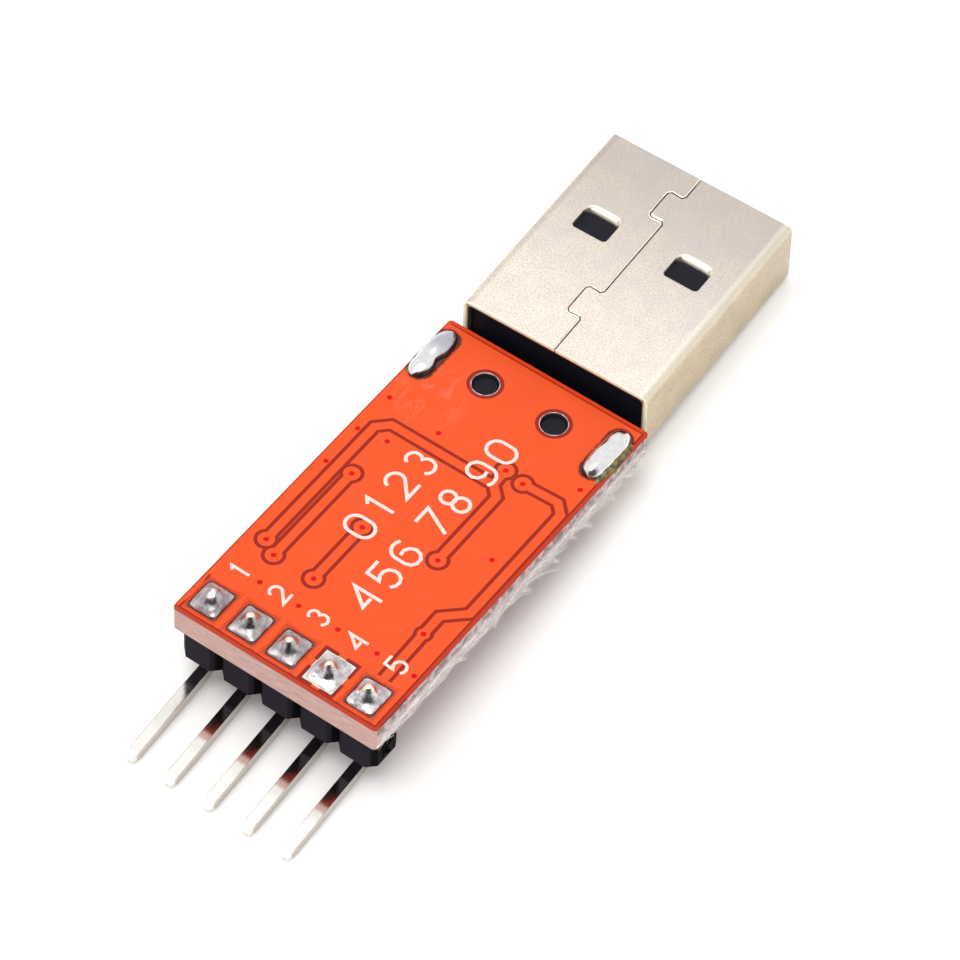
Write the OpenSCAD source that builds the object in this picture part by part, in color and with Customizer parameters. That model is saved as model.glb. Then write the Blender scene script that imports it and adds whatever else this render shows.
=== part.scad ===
// Adapter module: a small circuit board with a plug for a computer's serial bus soldered to one end
// and a row of five bent pins at the other. It lies with its parts underneath, so +Z is the bare back
// of the board. +X runs from the pins to the plug, and the origin is under the middle of the box that
// the whole module fills, on its lowest point.

/* [Circuit board] */
// Length of the board, from the pin end to the plug end
board_l = 24.7; // [24.5:0.05:24.9]
// How far the board reaches past the plug on each side, which sets the board's width
side_room = 0.6; // [0.55:0.05:0.8]
// Thickness of the bare laminate
board_t = 1.6; // [1.5:0.05:1.7]
// Thickness of the copper foil on each side
copper_t = 0.035; // [0.03:0.005:0.05]
// Thickness of the lacquer where it covers copper
mask_t = 0.025; // [0.02:0.005:0.03]
// Radius of the board's corners
corner_r = 0.25; // [0.1:0.05:0.4]
// How far the foil stays back from the board's edges
edge_margin = 0.3; // [0.2:0.05:0.4]
// Width of the bare lines that separate one piece of foil from the next
gap_w = 0.2; // [0.15:0.01:0.22]
// Width of the conductors
trace_w = 0.5; // [0.4:0.02:0.54]

/* [Pin header] */
// Spacing of the pins
pin_pitch = 2.54; // [2.5:0.01:2.54]
// Side of the square pins
pin_side = 0.64; // [0.5:0.02:0.66]
// Distance from the board's end to the row of pins
pin_row_x = 1.6; // [1.5:0.05:1.7]
// Height of a pin's end above the back of the board
pin_above = 0.55; // [0.4:0.05:0.7]
// Depth of the plastic strip, across the row
strip_d = 2.5; // [2.3:0.05:2.5]
// Height of the plastic strip
strip_h = 2.54; // [2.3:0.02:2.6]
// Straight length of a pin between the strip and its bend
pin_drop = 0.45; // [0.3:0.05:0.6]
// Radius inside the bend of a pin
pin_bend_r = 0.5; // [0.35:0.05:0.6]
// Straight length of a pin after its bend
pin_run = 6.45; // [5:0.05:8]
// How far the bent pins point down instead of lying parallel to the board, in degrees
pin_droop = 7; // [0:0.5:9]

/* [Plug] */
// Length of the metal shell
plug_l = 14.55; // [14:0.05:15]
// Width of the shell
plug_w = 12; // [11.9:0.05:12.05]
// Height of the shell
plug_h = 4.5; // [4.4:0.05:4.6]
// Thickness of the shell's sheet
sheet_t = 0.3; // [0.25:0.01:0.32]
// Outer radius of the shell's four folds
fold_r = 0.6; // [0.45:0.05:0.7]
// Width of the line where the two edges of the sheet meet
seam_w = 0.06; // [0.04:0.01:0.1]
// Length of a window in the shell, along the plug
window_l = 1.6; // [1.4:0.05:1.8]
// Width of a window in the shell
window_w = 2.25; // [2:0.05:2.5]
// How far the front wall of a window slopes
window_slope = 0.28; // [0:0.02:0.3]
// Thickness of the tongue that carries the contacts
tongue_t = 1.84; // [1.7:0.02:1.9]
// Width of a contact
contact_w = 1; // [0.8:0.05:1.1]
// How far the plug's rear edge lies beyond the board's end
plug_gap = 0.56; // [0.5:0.02:0.65]
// Height of the plug's top, at its rear edge, over the back of the board
plug_rise = 1.65; // [1.6:0.05:1.75]
// How far the plug's nose tips up where it was soldered, in degrees
nose_up = 2.8; // [0:0.1:3]
// How far the plug turns away from the board's own line, in degrees
nose_turn = 1.1; // [0:0.1:1.2]

/* [Chip] */
// Length of the chip's body
chip_l = 10.2; // [9.8:0.1:10.4]
// Width of the chip's body
chip_w = 5.3; // [5.1:0.1:5.5]
// Height of the chip's body over the board
chip_h = 1.85; // [1.6:0.05:2]

/* [Hidden] */
$fn = 48;
eps = 0.01;

board_w = plug_w + 2 * side_room;
// The line of the plug and the pin row lies a little to the left of the board's middle.
line_y = 0.13;
// On the left the foil comes closer to the edge.
left_margin = 0.1;
// The lacquer is thicker where it fills the lines between the pieces of foil.
mask_gap_t = 0.04;
skin = copper_t + mask_t;

// Header
pin_count = 5;
strip_top = -board_t - skin;
strip_bottom = strip_top - strip_h;
bend_z = strip_bottom - pin_drop;
bend_mid_r = pin_bend_r + pin_side / 2;
bend_x = pin_row_x - bend_mid_r;
bend_angle = 90 - pin_droop;
tip_l = 0.4;
tip_side = 0.44;
pad_l = 2.2;
pad_w = 1.9;
hole_d = 1.02;
plating_t = 0.04;
function pin_y(i) = (2 - i) * pin_pitch;

// Plug
plug_rear_x = board_l + plug_gap;
inner_w = plug_w - 2 * sheet_t;
inner_r = fold_r - sheet_t;
lead_in = 0.12;
block_fit = 0.05;
tongue_w = inner_w - 0.3;
tongue_front = plug_l - 0.45;
block_rear = 0.35;
block_front = 2.3;
base_rear = -5.3;
tray_rear = -4.7;
floor_z = -plug_h + sheet_t;
tongue_z = -sheet_t - tongue_t;
under_board = plug_rise + board_t + skin;
base_top = -(under_board - plug_gap * sin(nose_up)) / cos(nose_up) - 0.015;
contact_t = 0.2;
contact_y = [3.5, 1, -1, -3.5];
post_d = 1.44;
post_hole_d = 1.55;
post_row_x = 22.12;
post_y = 2.27;
leg_row_x = 22.1;
leg_y = plug_w / 2 - sheet_t / 2;
leg_l = 2;
leg_above = 0.45;
slot_l = 2.5;
slot_w = 0.62;
leg_pad_l = 3.88;
leg_pad_w = 1.38;
window_x = 8.45;
window_r = 0.25;
window_y = 3;

// Reach of the whole module, which sets the origin.
pin_tip_x = bend_x + bend_mid_r * cos(bend_angle) - pin_run * cos(pin_droop);
low_z = bend_z - bend_mid_r * sin(bend_angle) - (pin_run - tip_l) * sin(pin_droop)
    - pin_side / 2 * cos(pin_droop);
start_x = pin_tip_x - tip_side / 2 * sin(pin_droop);
mouth_corner = plug_w / 2 - fold_r + sqrt(fold_r * fold_r - (fold_r - lead_in) * (fold_r - lead_in));
end_x = plug_rear_x + plug_l * cos(nose_up) * cos(nose_turn)
    + (plug_h - lead_in) * sin(nose_up) * cos(nose_turn) + mouth_corner * sin(nose_turn);
middle_x = (start_x + end_x) / 2;

// A ribbon of even width along a line of points, with mitred corners
function unit(v) = v / norm(v);
function across(v) = [-v[1], v[0]];
function mitre(p, i) =
    let (a = i == 0 ? p[1] - p[0] : p[i] - p[i - 1], b = i == len(p) - 1 ? a : p[i + 1] - p[i],
        na = across(unit(a)), n = unit(na + across(unit(b))))
    n / (n * na);
function ribbon(p, w) = concat(
    [for (i = [0:len(p) - 1]) p[i] + mitre(p, i) * w / 2],
    [for (i = [len(p) - 1:-1:0]) p[i] - mitre(p, i) * w / 2]);

// Places: the back of the board, its underside where the parts sit, and the tilted plug
module on_board() translate([-middle_x, 0, -low_z]) children();
module on_line() on_board() translate([0, line_y, 0]) children();
module on_parts() on_board() translate([0, 0, -board_t]) mirror([0, 0, 1]) children();
module in_plug() on_line() translate([plug_rear_x, 0, plug_rise]) rotate([0, -nose_up, nose_turn])
    children();
// The place of a point of the board as the tilted plug sees it
function seen_from_plug(p) =
    let (d = p - [plug_rear_x, 0, plug_rise],
        x = d[0] * cos(nose_turn) + d[1] * sin(nose_turn),
        y = -d[0] * sin(nose_turn) + d[1] * cos(nose_turn))
    [x * cos(nose_up) + d[2] * sin(nose_up), y, -x * sin(nose_up) + d[2] * cos(nose_up)];

module box(x, y, z) translate([x[0], y[0], z[0]]) cube([x[1] - x[0], y[1] - y[0], z[1] - z[0]]);
module rounded(l, w, r) {
    square([l, w - 2 * r], center = true);
    square([l - 2 * r, w], center = true);
    for (x = [-1, 1], y = [-1, 1]) translate([x * (l / 2 - r), y * (w / 2 - r)]) circle(r);
}
module slot(l, w) {
    square([l - w, w], center = true);
    for (x = [-1, 1]) translate([x * (l - w) / 2, 0]) circle(d = w);
}

// Board: places of holes and conductors, measured from the pin end and the board's middle.
// What runs along an edge keeps its distance from that edge.
rim_y = board_w / 2 - 0.55;
label_x = 4.05;
stitch_y = [for (i = [0:pin_count - 2]) (pin_y(i) + pin_y(i + 1)) / 2 + line_y];
vias = [[6.52, rim_y - 0.65], [5.91, 4.45], [12.79, 4.45], [12.64, rim_y], [10.22, 1.85], [5.94, 1.85],
    [17.94, -1.95], [17.75, -3.2], [10.86, -2.6], [15.45, rim_y], [15.69, 4.25], [17.82, 2.4],
    [18.22, rim_y - 0.1], [19.28, 0.2 - rim_y], [12.61, -4.85], [label_x, stitch_y[0]],
    [label_x, stitch_y[1]], [label_x, stitch_y[2]], [6.52, -4.85], [label_x, stitch_y[3]],
    [label_x, -rim_y]];
ringed = [0, 1, 2, 4, 5, 6, 7, 8, 18];
via_d = 0.3;
// The ring of the conductor to the last pin is a small one.
function ring_d(i) = i == 18 ? 0.7 : 0.95;
conductors = [
    [vias[0], [16.1, vias[0][1]], [16.75, vias[0][1] - 0.65], [16.75, -2.0], [16.15, -2.6], vias[8]],
    [[16.75, -1.95], vias[6]],
    [vias[1], vias[2]],
    [vias[4], vias[5]],
    [vias[7], [17.85, 0.65 - rim_y], [17.25, 0.05 - rim_y], [9.05, 0.05 - rim_y], [7.95, -4.85], vias[18]],
    [vias[18], [pin_row_x, pin_y(4) + line_y]]];

module board_outline(inset) translate([board_l / 2, 0])
    rounded(board_l - 2 * inset, board_w - 2 * inset, max(corner_r - inset, 0.02));
module foil_outline() translate([edge_margin, -board_w / 2 + edge_margin])
    square([board_l - 2 * edge_margin, board_w - edge_margin - left_margin]);
module pin_holes(d) for (i = [0:pin_count - 1]) translate([pin_row_x, pin_y(i) + line_y]) circle(d = d);
module post_holes(d) for (s = [-1, 1]) translate([post_row_x, s * post_y + line_y]) circle(d = d);
module leg_slots(grow) for (s = [-1, 1]) translate([leg_row_x, s * leg_y + line_y])
    slot(slot_l + grow, slot_w + grow);
module leg_pads() intersection() {
    for (s = [-1, 1]) translate([leg_row_x, s * (leg_y - 0.12) + line_y]) slot(leg_pad_l, leg_pad_w);
    board_outline(0.08);
}
module via_dots(d) for (v = vias) translate(v) circle(d = d);
// A pad for a pin, its sides drawn in between the corners; the pad on the wide foil stays square.
wide_pad = 3;
module pin_pad(grow) difference() {
    square([pad_l + grow, pad_w + grow], center = true);
    for (s = [-1, 1]) {
        translate([s * (pad_l / 2 + 2.35), 0]) circle(r = 2.55 - grow / 2, $fn = 64);
        translate([0, s * (pad_w / 2 + 2.85)]) circle(r = 3.02 - grow / 2, $fn = 64);
    }
}
module pin_pads(grow) for (i = [0:pin_count - 1]) translate([pin_row_x, pin_y(i) + line_y])
    if (i == wide_pad) square([pad_l + grow, pad_w + grow], center = true);
    else pin_pad(grow);

// Foil on the back: one sheet, cut by thin bare lines round the conductors and the pads
module conductor_shapes(grow) {
    for (c = conductors) polygon(ribbon(c, trace_w + grow));
    for (i = ringed) translate(vias[i]) circle(d = ring_d(i) + grow);
}
module ground_spokes() translate([pin_row_x, pin_y(wide_pad) + line_y]) {
    square([pad_l + 4 * gap_w, 0.5], center = true);
    square([0.5, pad_w + 4 * gap_w], center = true);
}
module foil_back() difference() {
    union() {
        difference() {
            foil_outline();
            conductor_shapes(2 * gap_w);
            pin_pads(2 * gap_w);
        }
        intersection() {
            foil_outline();
            union() {
                conductor_shapes(0);
                pin_pads(0);
                ground_spokes();
            }
        }
        leg_pads();
    }
    pin_holes(hole_d + 2 * plating_t);
    post_holes(2.05);
    leg_slots(0);
}
module windows_back() {
    pin_pads(0.1);
    leg_pads();
    post_holes(post_hole_d + 0.06);
}

// Foil under the parts: a pad for each joint and a sheet round them
chip_x = 10.2;
lead_pitch = 0.65;
lead_count = 14;
lead_w = 0.3;
lead_reach = 3.9;
lead_pad_l = 1.15;
front_ring_d = 0.6;
front_trace_w = 0.25;
crystal = [16.75, 0];
crystal_l = 2.5;
crystal_w = 3.2;
crystal_h = 0.35;
lid_step = 0.2;
edge_row_y = board_w / 2 - 1.4;
capacitors = [[4.4, 0.25 - edge_row_y], [8.6, -edge_row_y], [11.1, -edge_row_y], [14.0, -edge_row_y]];
resistors = [[13.6, edge_row_y], [16.1, edge_row_y], [18.6, edge_row_y]];
lamps = [[4.4, edge_row_y], [8.3, edge_row_y], [10.8, edge_row_y]];
fuse = [17.3, 0.15 - edge_row_y];
small_l = 1.6;
small_w = 0.8;
small_h = 0.5;
small_end = 0.3;
capacitor_h = 0.75;
lamp_base_h = 0.3;
lens_l = 1;
fuse_l = 3.2;
fuse_w = 1.6;
fuse_h = 0.75;
fuse_end = 0.5;
tail_x = 18.35;
tail_pad_l = 1.6;

function lead_x(k) = chip_x + (k - (lead_count - 1) / 2) * lead_pitch;
lead_y = lead_reach + 0.2 - lead_pad_l / 2;
front_conductors = [
    [vias[0], [6.52, 4.85], [lead_x(1), 4.6], [lead_x(1), lead_y]],
    [vias[1], [lead_x(0), lead_y]],
    [vias[2], [lead_x(10), lead_y]],
    [vias[4], [lead_x(7), 2.3], [lead_x(7), lead_y]],
    [vias[5], [4.5, 0.4], [4, pin_y(2) + line_y], [pin_row_x, pin_y(2) + line_y]],
    [vias[8], [lead_x(8), -3], [lead_x(8), -lead_y]],
    [[pin_row_x, pin_y(1) + line_y], [4.7, pin_y(1) + line_y], [5.2, 3.2], [5.2, 3.9], vias[1]],
    [vias[7], [tail_x + 0.3, contact_y[3] + line_y]],
    [vias[6], [tail_x + 0.3, contact_y[2] + line_y]]];
module end_pads(place, l, w, e, grow) translate(place)
    for (s = [-1, 1]) translate([s * (l / 2 - e / 2 + 0.15), 0])
        square([e + 0.5 + grow, w + 0.1 + grow], center = true);
module part_pads(grow) {
    for (k = [0:lead_count - 1], s = [-1, 1]) translate([lead_x(k), s * lead_y])
        square([lead_w + 0.06 + grow / 2, lead_pad_l + grow], center = true);
    for (p = concat(capacitors, resistors, lamps)) end_pads(p, small_l, small_w, small_end, grow);
    end_pads(fuse, fuse_l, fuse_w, fuse_end, grow);
    for (x = [-1, 1], y = [-1, 1])
        translate(crystal + [x * (crystal_l / 2 - 0.45), y * (crystal_w / 2 - 0.5)])
            square([1 + grow, 1.1 + grow], center = true);
    for (y = contact_y) translate([tail_x + tail_pad_l / 2, y + line_y])
        square([tail_pad_l + grow, contact_w + 0.3 + grow], center = true);
}
module front_shapes(grow) {
    part_pads(grow);
    pin_pads(grow);
    for (i = ringed) translate(vias[i]) circle(d = front_ring_d + grow);
    for (c = front_conductors) polygon(ribbon(c, front_trace_w + grow));
}
module foil_front() difference() {
    union() {
        difference() {
            foil_outline();
            front_shapes(2 * gap_w);
        }
        front_shapes(0);
        leg_pads();
    }
    pin_holes(hole_d + 2 * plating_t);
    post_holes(2.05);
    leg_slots(0);
}
module windows_front() {
    part_pads(0.05);
    pin_holes(pad_w);
    leg_pads();
    post_holes(post_hole_d + 0.06);
}

module circuit_board() color("#d8cba0") on_board() translate([0, 0, -board_t])
    linear_extrude(board_t) difference() {
        board_outline(0);
        pin_holes(hole_d + 2 * plating_t);
        post_holes(post_hole_d);
        leg_slots(0);
        via_dots(via_d);
    }
module copper_back() color("#c87a45") on_board() linear_extrude(copper_t) foil_back();
module copper_front() color("#c87a45") on_parts() linear_extrude(copper_t) foil_front();
module hole_plating() color("#d0cfc8") on_board() {
    translate([0, 0, -board_t - copper_t]) linear_extrude(board_t + 2 * copper_t) difference() {
        pin_holes(hole_d + 2 * plating_t);
        pin_holes(hole_d);
    }
    translate([0, 0, -board_t]) linear_extrude(board_t) via_dots(via_d);
}

// The lacquer lies over the foil (children 0), sinks into the bare lines and into the holes, and stays
// open over the joints (children 1).
module lacquer() difference() {
    linear_extrude(skin) difference() {
        board_outline(0);
        children(1);
    }
    translate([0, 0, -eps]) linear_extrude(copper_t + eps) children(0);
    translate([0, 0, mask_gap_t]) linear_extrude(skin) difference() {
        board_outline(-1);
        children(0);
    }
    translate([0, 0, skin - 0.015]) linear_extrude(skin) via_dots(via_d);
}
module solder_mask_back() color("#ee4a2e") on_board() lacquer() {
    foil_back();
    windows_back();
}
module solder_mask_front() color("#ee4a2e") on_parts() lacquer() {
    foil_front();
    windows_front();
}

// Plain numbers printed in white: open strokes and closed loops on a grid 4 wide and 6 high
function bow(x, y, r, from, to) =
    [for (k = [0:8]) [x, y] + r * [cos(from + (to - from) * k / 8), sin(from + (to - from) * k / 8)]];
strokes = [
    [],
    [[[0.8, 5], [2, 6], [2, 0]]],
    [concat(bow(2, 4.15, 1.85, 165, -35), [[0, 0], [4, 0]])],
    [concat(bow(2, 4.45, 1.55, 155, -55), bow(2, 1.7, 1.75, 55, -155))],
    [[[3, 0], [3, 6], [0, 2], [2.4, 2]]],
    [concat([[3.8, 6], [0.5, 6], [0.3, 3.2]], bow(1.95, 1.95, 1.95, 105, -145))],
    [concat(bow(2.3, 3.75, 2.25, 50, 165), bow(2, 1.9, 1.9, 180, 475))],
    [[[0, 6], [4, 6], [1, 0]]],
    [],
    [concat(bow(1.7, 2.25, 2.25, 230, 345), bow(2, 4.1, 1.9, 0, 295))]];
loops = [
    [concat(bow(2, 4, 2, 0, 180), bow(2, 2, 2, 180, 360))],
    [], [], [], [], [], [], [],
    [[for (k = [0:15]) [2, 4.5] + 1.5 * [cos(k * 22.5), sin(k * 22.5)]],
        [for (k = [0:15]) [2, 1.6] + 1.65 * [cos(k * 22.5), sin(k * 22.5)]]],
    []];
function beside(p, d) = [for (i = [0:len(p) - 1])
    let (n = len(p), a = p[i] - p[(i + n - 1) % n], na = across(unit(a)),
        m = unit(na + across(unit(p[(i + 1) % n] - p[i]))))
    p[i] + m / (m * na) * d];
module digit(n, h, w) {
    for (s = strokes[n]) polygon(ribbon(s * h / 6, w));
    for (s = loops[n]) difference() {
        polygon(beside(s * h / 6, -w / 2));
        polygon(beside(s * h / 6, w / 2));
    }
}
module number(digits, h, step, w) for (i = [0:len(digits) - 1])
    translate([i * step, 0]) digit(digits[i], h, w);
print_t = 0.015;
label_h = 1.15;
label_w = 0.17;
number_h = 1.75;
number_w = 0.2;
number_step = 1.8;
upper_row = [9.6, 1.1];
lower_row = [6, -1.9];
module silkscreen_back() color("white") on_board() translate([0, 0, skin]) linear_extrude(print_t) {
    for (i = [0:pin_count - 1]) translate([label_x - label_h / 3, pin_y(i) + line_y - label_h / 2])
        digit(i + 1, label_h, label_w);
    translate(upper_row) number([0, 1, 2, 3], number_h, number_step, number_w);
    translate(lower_row) number([4, 5, 6], number_h, number_step, number_w);
    translate(lower_row + [3.45 * number_step, 0]) number([7, 8], number_h, number_step, number_w);
    translate(lower_row + [5.8 * number_step, 0]) number([9, 0], number_h, number_step, number_w);
}

// Header: five eight-sided blocks in one strip, snapped from a longer one
unit_flat = 1.6;
tear = 0.1;
unit_cut = (pin_pitch - unit_flat) / 2;
module strip_unit() polygon([
    [-strip_d / 2, -unit_flat / 2], [-strip_d / 2, unit_flat / 2],
    [-strip_d / 2 + unit_cut, pin_pitch / 2], [strip_d / 2 - unit_cut, pin_pitch / 2],
    [strip_d / 2, unit_flat / 2], [strip_d / 2, -unit_flat / 2],
    [strip_d / 2 - unit_cut, -pin_pitch / 2], [-strip_d / 2 + unit_cut, -pin_pitch / 2]]);
module header_strip() color("#2b2a30") on_line() translate([pin_row_x, 0, strip_bottom])
    difference() {
        union() {
            for (i = [0:pin_count - 1]) translate([0, pin_y(i), 0]) linear_extrude(strip_h) strip_unit();
            // The torn edge where the next block of the strip was snapped off
            translate([0, -pin_count / 2 * pin_pitch, 0]) {
                box([-0.35, 0.75], [-tear / 2, eps], [0.35, strip_h - 0.25]);
                box([0.1, 0.55], [-tear, 0], [0.9, strip_h - 0.6]);
            }
        }
        for (i = [0:pin_count - 1]) translate([0, pin_y(i), strip_h / 2])
            cube([pin_side, pin_side, strip_h + 1], center = true);
    }

// A square pin: straight through the strip and the board, then one bend towards the pin end
module pin_side_view() {
    top = pin_above - 0.25;
    translate([pin_row_x - pin_side / 2, bend_z]) square([pin_side, top - bend_z]);
    translate([pin_row_x, top]) polygon([[-pin_side / 2, 0], [pin_side / 2, 0], [tip_side / 2, 0.25],
        [-tip_side / 2, 0.25]]);
    translate([bend_x, bend_z]) {
        intersection() {
            difference() {
                circle(r = pin_bend_r + pin_side);
                circle(r = pin_bend_r);
            }
            polygon([[0, 0], [3, 0], [3, -3], 3 * [cos(bend_angle), -sin(bend_angle)]]);
        }
        rotate(-bend_angle) translate([bend_mid_r, 0]) mirror([0, 1]) {
            translate([-pin_side / 2, 0]) square([pin_side, pin_run - tip_l]);
            polygon([[-pin_side / 2, pin_run - tip_l], [pin_side / 2, pin_run - tip_l],
                [tip_side / 2, pin_run], [-tip_side / 2, pin_run]]);
        }
    }
}
module pin() {
    difference() {
        translate([0, pin_side / 2, 0]) rotate([90, 0, 0]) linear_extrude(pin_side) pin_side_view();
        // The two side faces of the tip are squeezed in as well.
        for (s = [-1, 1]) translate([bend_x, 0, bend_z]) rotate([0, bend_angle, 0])
            translate([bend_mid_r, 0, -pin_run]) rotate([90, 0, 90]) translate([0, 0, -1]) linear_extrude(2)
                polygon([[s * pin_side / 2, tip_l], [s * (pin_side / 2 + 0.3), tip_l],
                    [s * (pin_side / 2 + 0.3), -0.2], [s * (tip_side / 2 - 0.04), -0.2],
                    [s * tip_side / 2, 0]]);
    }
}
module header_pin(i) color("#dcdad2") on_line() translate([0, pin_y(i), 0]) pin();

// Solder joint of a pin: a thin skin pulled to the pad's four corners, rising to the pin's end
joint_h = 0.72;
module joint_dome() rotate_extrude($fn = 64) difference() {
    square([1.6, joint_h]);
    translate([1.62, joint_h + 0.42]) circle(r = 1.06, $fn = 96);
    translate([1.3, 0.12]) square([1, 2]);
    translate([0.5, joint_h - 0.09]) square([2, 2]);
}
module header_solder() color("#b9b9bb") on_line() for (i = [0:pin_count - 1])
    translate([0, pin_y(i), 0]) difference() {
        union() {
            translate([pin_row_x, 0, copper_t]) intersection() {
                linear_extrude(joint_h) pin_pad(-0.06);
                joint_dome();
            }
            translate([pin_row_x, 0, -board_t]) cylinder(d = hole_d, h = board_t + copper_t + eps);
        }
        pin();
    }

// Plug shell: one sheet folded round four corners, its edges locked by two tabs on the top seam,
// with a tray that reaches back under the board and a leg standing up on each side of it
module shell_section(inset) translate([0, -plug_h / 2]) rounded(plug_w - 2 * inset, plug_h - 2 * inset,
    fold_r - inset);
module along_plug(from, to) translate([from, 0, 0]) rotate([90, 0, 90]) linear_extrude(to - from) children();
function seam_tab(x) = [[x - 0.2, 0], [x, 0.15], [x - 0.05, 0.82], [x + 0.13, 1], [x + 1.87, 1],
    [x + 2.05, 0.82], [x + 2, 0.15], [x + 2.2, 0]];
seam = concat([[-1, 0]], seam_tab(2.65), seam_tab(10.72), [[plug_l + 1, 0]]);
// The mouth's outer edges are coined, so that the plug finds its socket.
module mouth_profile(half) polygon([[-1, -half], [plug_l - lead_in, -half], [plug_l, -half + lead_in],
    [plug_l, half - lead_in], [plug_l - lead_in, half], [-1, half]]);
module shell_tube() intersection() {
    along_plug(0, plug_l) difference() {
        shell_section(0);
        shell_section(sheet_t);
    }
    translate([0, 0, -plug_h]) linear_extrude(plug_h) mouth_profile(plug_w / 2);
    translate([0, plug_w / 2, -plug_h / 2]) rotate([90, 0, 0]) linear_extrude(plug_w)
        mouth_profile(plug_h / 2);
}
module shell_tray() intersection() {
    along_plug(tray_rear, eps) difference() {
        shell_section(0);
        shell_section(sheet_t);
    }
    box([tray_rear - 1, 1], [-plug_w, plug_w], [-plug_h - 1, base_top - 0.03]);
}
module leg(s) {
    foot = seen_from_plug([leg_row_x, s * leg_y, -board_t / 2]);
    box([foot[0] - leg_l / 2, foot[0] + leg_l / 2],
        s > 0 ? [plug_w / 2 - sheet_t, plug_w / 2] : [-plug_w / 2, -plug_w / 2 + sheet_t],
        [-plug_h + fold_r, -plug_rise + leg_above]);
}
module legs() for (s = [-1, 1]) leg(s);
module plug_shell() color("#ded4c6") in_plug() difference() {
    union() {
        shell_tube();
        shell_tray();
        legs();
    }
    translate([0, 0, -sheet_t - 0.1]) linear_extrude(sheet_t + 0.3) polygon(ribbon(seam, seam_w));
    for (s = [-1, 1]) {
        translate([window_x, s * window_y, -plug_h - 1]) linear_extrude(plug_h + 2)
            rounded(window_l, window_w, window_r);
        // The front wall slopes where the punch drew the sheet down.
        for (side = [0, 1]) translate([window_x + window_l / 2, s * window_y, -side * plug_h])
            mirror([0, 0, side]) rotate([90, 0, 0])
                linear_extrude(window_w - 2 * window_r, center = true) polygon([[-window_r, -sheet_t],
                    [0, -sheet_t], [window_slope, eps], [-window_r, eps]]);
    }
}

// Insulator: the tongue against the shell's top, the block that fills the rear of the shell, and the
// base in the tray with two pegs that find their holes in the board
tail_end = seen_from_plug([tail_x + 0.35, 0, -board_t - copper_t]);
tail_start = seen_from_plug([tail_x + 1.25, 0, -board_t - copper_t]);
tail_z = tail_start[2] - contact_t / 2 - 0.01;
contact_path = [
    [tongue_front - 0.25, tongue_z + contact_t / 2 + 0.35],
    [tongue_front - 0.65, tongue_z + contact_t / 2 - 0.05],
    [1.3, tongue_z + contact_t / 2 - 0.05], [1.3, floor_z + 0.4], [base_rear - 0.2, floor_z + 0.4],
    [tail_start[0], tail_z], [tail_end[0], tail_z]];
module contact(i) translate([0, contact_y[i] + contact_w / 2, 0]) rotate([90, 0, 0])
    linear_extrude(contact_w) polygon(ribbon(contact_path, contact_t));
module pegs() for (s = [-1, 1]) {
    foot = seen_from_plug([post_row_x, s * post_y, -board_t / 2]);
    translate([foot[0], foot[1], base_top - 0.3]) cylinder(d = post_d, h = 0.3 + board_t - 0.04);
}
// A block that fills the shell from floor to top between two sides, its corners cut for the folds
module snug(half, low, high, cut_low, cut_high) polygon([
    [-half + cut_low, low], [half - cut_low, low], [half, low + cut_low], [half, high - cut_high],
    [half - cut_high, high], [-half + cut_high, high], [-half, high - cut_high], [-half, low + cut_low]]);
module plug_insulator() color("#1c1d22") in_plug() difference() {
    union() {
        along_plug(block_front - eps, tongue_front)
            snug(tongue_w / 2, tongue_z, -sheet_t, 0.1, inner_r);
        along_plug(block_rear, block_front)
            snug(inner_w / 2 - block_fit, floor_z, -sheet_t, inner_r + block_fit, inner_r + block_fit);
        along_plug(base_rear, block_rear + eps)
            snug(tongue_w / 2, floor_z, base_top, inner_r, 0.1);
        pegs();
    }
    for (i = [0:3]) contact(i);
}
module plug_contact(i) color("#e0c27a") in_plug() contact(i);
fillet_l = 1.3;
fillet_h = 0.26;
module contact_solder() color("#b9b9bb") difference() {
    on_parts() for (y = contact_y) translate([tail_x + 0.1, y + line_y + contact_w / 2 + 0.1, copper_t])
        rotate([90, 0, 0]) linear_extrude(contact_w + 0.2)
            polygon([[0, 0], [fillet_l, 0], [fillet_l - 0.15, fillet_h - 0.06], [0.45, fillet_h],
                [0.15, fillet_h / 2]]);
    in_plug() for (i = [0:3]) contact(i);
}

// Solder round the shell's two legs: a long dome on the back of the board and the filling of the slot
dome_w = 1.3;
dome_l = 3.8;
dome_h = 0.6;
dome_r = (dome_w * dome_w / 4 + dome_h * dome_h) / (2 * dome_h);
module dome_profile() intersection() {
    translate([0, dome_h - dome_r]) circle(r = dome_r, $fn = 64);
    translate([-dome_w, 0]) square([2 * dome_w, dome_h]);
}
module leg_solder() color("#c3c4c8") difference() {
    on_line() for (s = [-1, 1]) translate([leg_row_x, s * leg_y, 0]) {
        translate([0, -s * 0.12, copper_t]) {
            translate([-(dome_l - dome_w) / 2, 0, 0]) rotate([90, 0, 90]) linear_extrude(dome_l - dome_w)
                dome_profile();
            for (e = [-1, 1]) translate([e * (dome_l - dome_w) / 2, 0, 0]) rotate_extrude($fn = 64)
                intersection() {
                    dome_profile();
                    square([dome_w, dome_h]);
                }
        }
        translate([0, 0, -board_t - copper_t]) linear_extrude(board_t + 2 * copper_t + eps)
            slot(slot_l, slot_w);
    }
    in_plug() legs();
}

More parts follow.
